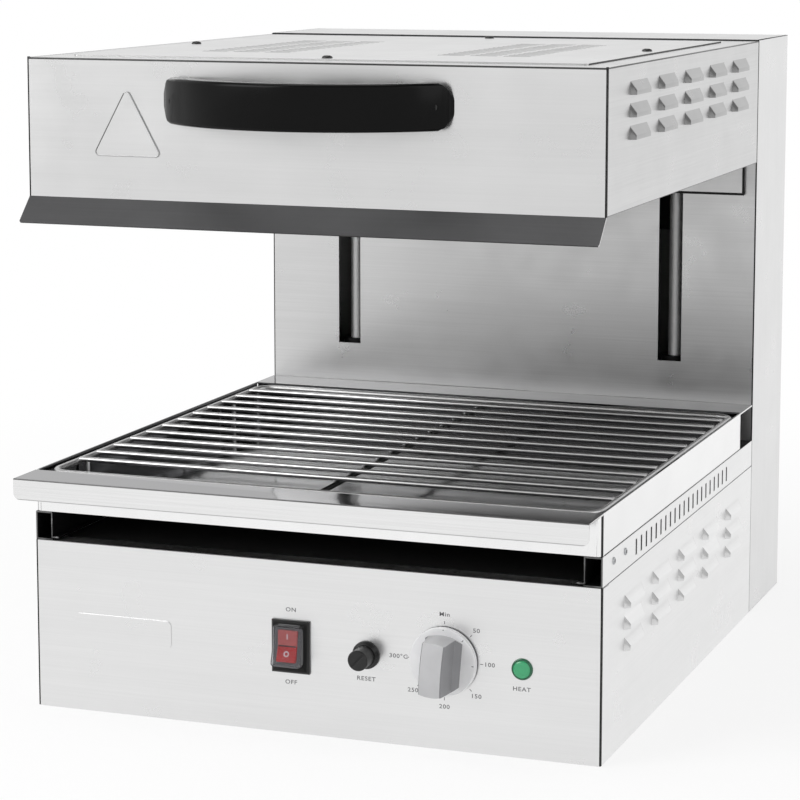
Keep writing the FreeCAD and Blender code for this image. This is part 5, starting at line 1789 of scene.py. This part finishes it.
@dataclass
class Switch:
    """Mains switch: bezel, bellows, rocker with a paler upper half and its marks, and clear boot.
    """

    centre: tuple[float, float] = (-0.014, 0.0663)
    pivot: float = -0.288
    tilt: float = -10.0
    half_width: float = 0.0077
    half_height: float = 0.0119
    rise: float = 0.0130
    hollow: float = 0.0020
    boot_gap: float = 0.0035

    def build(self) -> None:
        """Makes the switch's visible pieces."""
        shape = folded_copy("switch_housing", 0.0005, least=1.0)
        shape.piece(
            "switch_frame", Body.BASE, "black_satin", "black_moulded", ["switch_housing"], 25, True
        )
        self.rocker()
        self.marks()
        self.boot()
        self.collar()
        self.bellows()

    def outline(self, grow: float, root: float) -> list[tuple[float, float]]:
        """Gives the rocker's side view.

        Args:
            grow: how far outside the rocker it lies.
            root: how far behind the pivot it starts.

        Returns:
            Pairs of Y from the pivot and Z from the middle.
        """
        half = self.half_height + grow
        tip = -self.rise - grow
        valley = tip + self.hollow
        return [(root, -half), (tip, -half), (valley, 0), (tip, half), (root, half)]

    def stand(self, shape: Shape) -> None:
        """Tilts what lies about the origin and moves it to the pivot.

        Args:
            shape: the mesh.
        """
        place = Matrix.Translation((self.centre[0], self.pivot, self.centre[1]))
        tilt = Matrix.Rotation(math.radians(self.tilt), 4, "X")
        bmesh.ops.transform(shape.mesh, matrix=place @ tilt, verts=shape.mesh.verts)

    def rocker(self) -> None:
        """Makes the rocker, its upper half in a paler red."""
        shape = Shape()
        half = self.half_width
        outline = [(-half, y, z) for y, z in self.outline(0, 0.004)]
        shape.plate(outline, (2 * half, 0, 0))
        shape.soften(0.0007, 3)
        shape.paint(1, lambda f: mid(f).z > 0)
        self.stand(shape)
        finishes = ["rocker_red", "rocker_upper_pale"]
        shape.piece("rocker_lit", Body.ROCKER, finishes, "red_rocker", ["switch_rocker"], 30, True)

    def marks(self) -> None:
        """Adds the stroke, the ring and the line between the halves."""
        shape, line = Shape(), Shape()
        slope = math.atan(self.hollow / self.half_height)
        for side in (-1, 1):
            part = Shape()
            if side > 0:
                part.block((-0.0005, -0.00012, 0.0052), (0.0005, 0.0001, 0.0092))
            else:
                inner, outer, proud = 0.0012, 0.0022, -0.00014
                part.turned(
                    [(inner, 0), (inner, proud), (outer, proud), (outer, 0), (inner, 0)],
                    Vector((0, 0, -0.0058)),
                    Axis.Y,
                    32,
                )
            valley = Vector((0, -self.rise + self.hollow, 0))
            lean = Matrix.Rotation(side * slope, 4, "X")
            bmesh.ops.transform(
                part.mesh, matrix=Matrix.Translation(valley) @ lean, verts=part.mesh.verts
            )
            data = part.baked("mark")
            shape.mesh.from_mesh(data)
            bpy.data.meshes.remove(data)
        self.stand(shape)
        mark = "rocker_mark"
        shape.piece("rocker_marks", Body.ROCKER, mark, "white_moulded")
        half = self.half_width - 0.0008
        valley = -self.rise + self.hollow
        line.block((-half, valley - 0.0002, -0.0005), (half, valley + 0.0002, 0.0005))
        self.stand(line)
        line.piece("rocker_line", Body.ROCKER, "black_satin", "black_moulded")

    def boot(self) -> None:
        """Makes the clear boot as a thin shell, open behind."""
        shape = Shape()
        half = self.half_width + self.boot_gap
        outline = [(-half, y, z) for y, z in self.outline(self.boot_gap, 0.0018)]
        shape.plate(outline, (2 * half, 0, 0))
        shape.soften(0.0022, 4, 40, lambda e: any(v.co.y < 0 for v in e.verts))
        back = [f for f in shape.mesh.faces if mid(f).y > 0.0017]
        bmesh.ops.delete(shape.mesh, geom=back, context="FACES")
        bmesh.ops.solidify(shape.mesh, geom=shape.mesh.faces[:], thickness=0.0008)
        shape.outward()
        self.stand(shape)
        shape.piece("boot_shell", Body.ROCKER, "boot_clear", "clear_boot", ["switch_boot"], 50)

    def collar(self) -> None:
        """Adds the smoky skirt that shows through the boot round the rocker."""
        shape = Shape()
        half = self.half_width + self.boot_gap + 0.0002
        tall = self.half_height + self.boot_gap + 0.0006
        front = -self.rise + self.hollow + 0.0006
        shape.block((-half, front, -tall), (half, front + 0.0046, tall))
        shape.soften(0.0040, 5, 40, lambda e: abs(e.verts[0].co.y - e.verts[1].co.y) > 0.001)
        shape.soften(0.0008, 3)
        self.stand(shape)
        shape.piece("boot_skirt", Body.ROCKER, "smoky_skirt", "black_rubber", degrees=40)

    def bellows(self) -> None:
        """Adds the dark pleats between the bezel and the boot."""
        shape = Shape()
        x, z = self.centre
        bezel, step = -0.294, 0.0011
        for i, grow in enumerate((0.0034, 0.0022)):
            half_wide = self.half_width + self.boot_gap + grow - 0.0014
            half_high = self.half_height + self.boot_gap + grow - 0.0006
            face = bezel - step * i
            shape.block(
                (x - half_wide, face - 0.0008, z - half_high),
                (x + half_wide, face + 0.0020, z + half_high),
            )
        shape.soften(0.0006, 3)
        shape.piece("switch_bellows", Body.BASE, "black_rubber", "black_rubber", degrees=30)


@dataclass
class ResetAndLamp:
    """Round nut and screw cap of the cut-out, and the pilot lamp."""

    nut_radius: float = 0.0105
    lens_radius: float = 0.0065
    bezel_radius: float = 0.0080

    def build(self) -> None:
        """Makes the nut and the lamp; the cap keeps its CAD shape with softened edges."""
        shape = folded_copy("reset_cap", 0.0003, 35, 0.2)
        shape.piece(
            "reset_cap_moulded", Body.CAP, "black_satin", "black_moulded", ["reset_cap"], 30
        )
        low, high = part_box("limiter_nut")
        seat = back_middle(low, high)
        r, h = self.nut_radius, high.y - low.y
        shape = Shape()
        shape.turned(
            [
                (0.0052, 0),
                (r, 0),
                (r, -h * 0.4),
                (r - 0.0004, -h * 0.6),
                (r - 0.0013, -h * 0.72),
                (r - 0.0022, -h),
                (0.0052, -h),
                (0.0052, 0),
            ],
            seat,
            Axis.Y,
            64,
        )
        shape.piece(
            "limiter_nut_ring", Body.BASE, "black_satin", "black_moulded", ["limiter_nut"], 40
        )
        self.lamp()
        dress("rocker_red", "reset_button")

    def lamp(self) -> None:
        """Makes the lamp's ring and its domed lens."""
        low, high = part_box("lamp_bezel")
        seat = back_middle(low, high)
        r, h = self.bezel_radius, high.y - low.y
        ring = Shape()
        inner = self.lens_radius + 0.00005
        ring.turned(
            [(inner, 0), (r, 0), (r, -h * 0.4), (r - 0.0005, -h), (inner, -h), (inner, 0)],
            seat,
            Axis.Y,
            64,
        )
        ring.piece("lamp_ring", Body.BASE, "lamp_rim", "green_lens", ["lamp_bezel"], 40)
        low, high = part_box("lamp_lens")
        rise = high.y - low.y
        profile = [(0, 0), (self.lens_radius, 0), (self.lens_radius, -rise * 0.45)]
        for share in (0.97, 0.9, 0.8, 0.65, 0.45, 0.22, 0):
            profile.append(
                (self.lens_radius * share, -rise * (0.5 + 0.48 * math.sqrt(1 - share**2)))
            )
        lens = Shape()
        lens.turned(profile, seat, Axis.Y, 64)
        lens.piece("lamp_dome", Body.BASE, "lamp_green", "green_lens", ["lamp_lens"], 40)


@dataclass
class Studio:
    """Pale floor, plain surroundings, soft lamps and the photograph's camera."""

    camera_place: tuple[float, float, float] = (0.736, -1.795 - 0.291, 0.5955)
    yaw: float = 20.3
    pitch: float = 7.9
    lens: float = 121.1
    shift_y: float = -0.125

    def build(self) -> None:
        """Makes the camera, the floor, the lamps and the world."""
        self.camera()
        self.floor()
        self.lamps()
        self.world()

    def camera(self) -> None:
        """Sets the camera at the photograph's viewpoint."""
        data = bpy.data.cameras.new("camera")
        data.lens = self.lens
        data.sensor_width = 36
        data.shift_y = self.shift_y
        data.clip_end = 100
        camera = add_object("camera", data)
        camera.location = self.camera_place
        camera.rotation_euler = (math.radians(90 - self.pitch), 0, math.radians(self.yaw))
        bpy.context.scene.camera = camera

    def floor(self) -> None:
        """Lays a wide pale floor that shows white to the camera and keeps the shadow."""
        shape = Shape()
        bmesh.ops.create_grid(shape.mesh, x_segments=8, y_segments=8, size=12)
        data = shape.baked("floor")
        floor = add_object("floor", data)
        floor.location.z = -0.0002
        data.materials.append(self.floor_finish())

    def floor_finish(self) -> bpy.types.Material:
        """Makes a floor that is plain white paint to the lamps and shows white, with the
        object's shadow, to the camera and in metal and glass.

        Returns:
            The material.
        """
        g = Graph("floor_white")
        g.set(Roughness=0.9, Base_Color=(0.9, 0.9, 0.9))
        shown = add_node(g.nodes, "ShaderNodeEmission", Color=(1, 1, 1, 1), Strength=1.0)
        reach = g.nodes.new("ShaderNodeVectorMath")
        reach.operation = "LENGTH"
        g.join(g.place, reach.inputs[0])
        ends = {"From_Min": 0.35, "From_Max": 1.3, "To_Min": 0.78, "To_Max": 1.0}
        share = add_node(g.nodes, "ShaderNodeMapRange", **ends)
        share.interpolation_type = "SMOOTHSTEP"
        g.join(reach.outputs["Value"], share.inputs["Value"])
        seen = g.nodes.new("ShaderNodeMath")
        seen.operation = "MULTIPLY"
        g.join(share.outputs["Result"], seen.inputs[0])
        g.join(seen_rays(g.nodes, g.links), seen.inputs[1])
        mix = g.nodes.new("ShaderNodeMixShader")
        g.join(seen.outputs[0], mix.inputs["Fac"])
        g.join(g.shader.outputs["BSDF"], mix.inputs[1])
        g.join(shown.outputs[0], mix.inputs[2])
        g.join(mix.outputs[0], g.nodes["Material Output"].inputs["Surface"])
        return g.material

    def lamps(self) -> None:
        """Hangs the soft boxes."""
        for name, place, size, power, aim in (
            ("key", (-2.2, -2.4, 2.0), 2.2, 60.0, (0, 0, 0.25)),
            ("fill", (3.0, -0.6, 1.6), 2.4, 22.0, (0, 0, 0.2)),
            ("top", (-0.4, -0.2, 3.0), 2.0, 30.0, (0, 0, 0.3)),
        ):
            data = bpy.data.lights.new(name, "AREA")
            data.shape = "SQUARE"
            data.size = size
            data.energy = power
            lamp = add_object(name, data)
            lamp.location = place
            toward = Vector(aim) - Vector(place)
            lamp.rotation_euler = toward.to_track_quat("-Z", "Y").to_euler()

    def ceiling(self, nodes: bpy.types.Nodes, links: bpy.types.NodeLinks, colour: Socket) -> None:
        """Darkens the surroundings overhead, as a studio's ceiling between the lamps is.

        Args:
            nodes: the world's nodes.
            links: the world's links.
            colour: the socket that takes the colour.
        """
        direction = nodes.new("ShaderNodeTexCoord")
        split = nodes.new("ShaderNodeSeparateXYZ")
        links.new(direction.outputs["Generated"], split.inputs[0])
        ends = {"From_Min": 0.45, "From_Max": 0.8, "To_Min": 1.0, "To_Max": 0.14}
        height = add_node(nodes, "ShaderNodeMapRange", **ends)
        height.interpolation_type = "SMOOTHSTEP"
        links.new(split.outputs["Z"], height.inputs["Value"])
        links.new(height.outputs["Result"], colour)

    def world(self) -> None:
        """Surrounds the set with plain light, white where it is seen or mirrored."""
        world = bpy.data.worlds.new("studio")
        bpy.context.scene.world = world
        world.use_nodes = True
        nodes, links = world.node_tree.nodes, world.node_tree.links
        plain = nodes["Background"]
        plain.inputs["Color"].default_value = (1, 1, 1, 1)
        plain.inputs["Strength"].default_value = 0.5
        seen = add_node(nodes, "ShaderNodeBackground", Strength=1.0)
        self.ceiling(nodes, links, seen.inputs["Color"])
        mix = nodes.new("ShaderNodeMixShader")
        links.new(seen_rays(nodes, links), mix.inputs["Fac"])
        links.new(plain.outputs[0], mix.inputs[1])
        links.new(seen.outputs[0], mix.inputs[2])
        links.new(mix.outputs[0], nodes["World Output"].inputs["Surface"])
        view = bpy.context.scene.view_settings
        view.view_transform = "Standard"


def seen_rays(nodes: bpy.types.Nodes, links: bpy.types.NodeLinks) -> Socket:
    """Tells camera, glossy and transmission rays from the rest.

    Args:
        nodes: the tree's nodes.
        links: the tree's links.

    Returns:
        1 for those rays, 0 for the rest.
    """
    rays = nodes.new("ShaderNodeLightPath")
    total = rays.outputs["Is Camera Ray"]
    for name in ("Is Glossy Ray", "Is Transmission Ray"):
        either = nodes.new("ShaderNodeMath")
        either.operation = "MAXIMUM"
        links.new(total, either.inputs[0])
        links.new(rays.outputs[name], either.inputs[1])
        total = either.outputs[0]
    return total


def corners(bounds: Iterable[Vector]) -> list[list[float]]:
    """Two corners as plain lists."""
    return [[round(c, 6) for c in corner] for corner in bounds]


def main() -> None:
    """Builds every sub-assembly in order."""
    logging.basicConfig(level=logging.INFO, format="%(message)s")
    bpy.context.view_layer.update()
    Studio().build()
    make_finishes()
    for assembly in (Cabinet(), Column(), Hood()):
        assembly.build()
        assembly.dress()
    rest = Handle(), Lettering(), Knob(), Switch(), ResetAndLamp(), Screws(), Pan(), WireGrid()
    for assembly in rest:
        assembly.build()


if __name__ == "__main__":
    main()
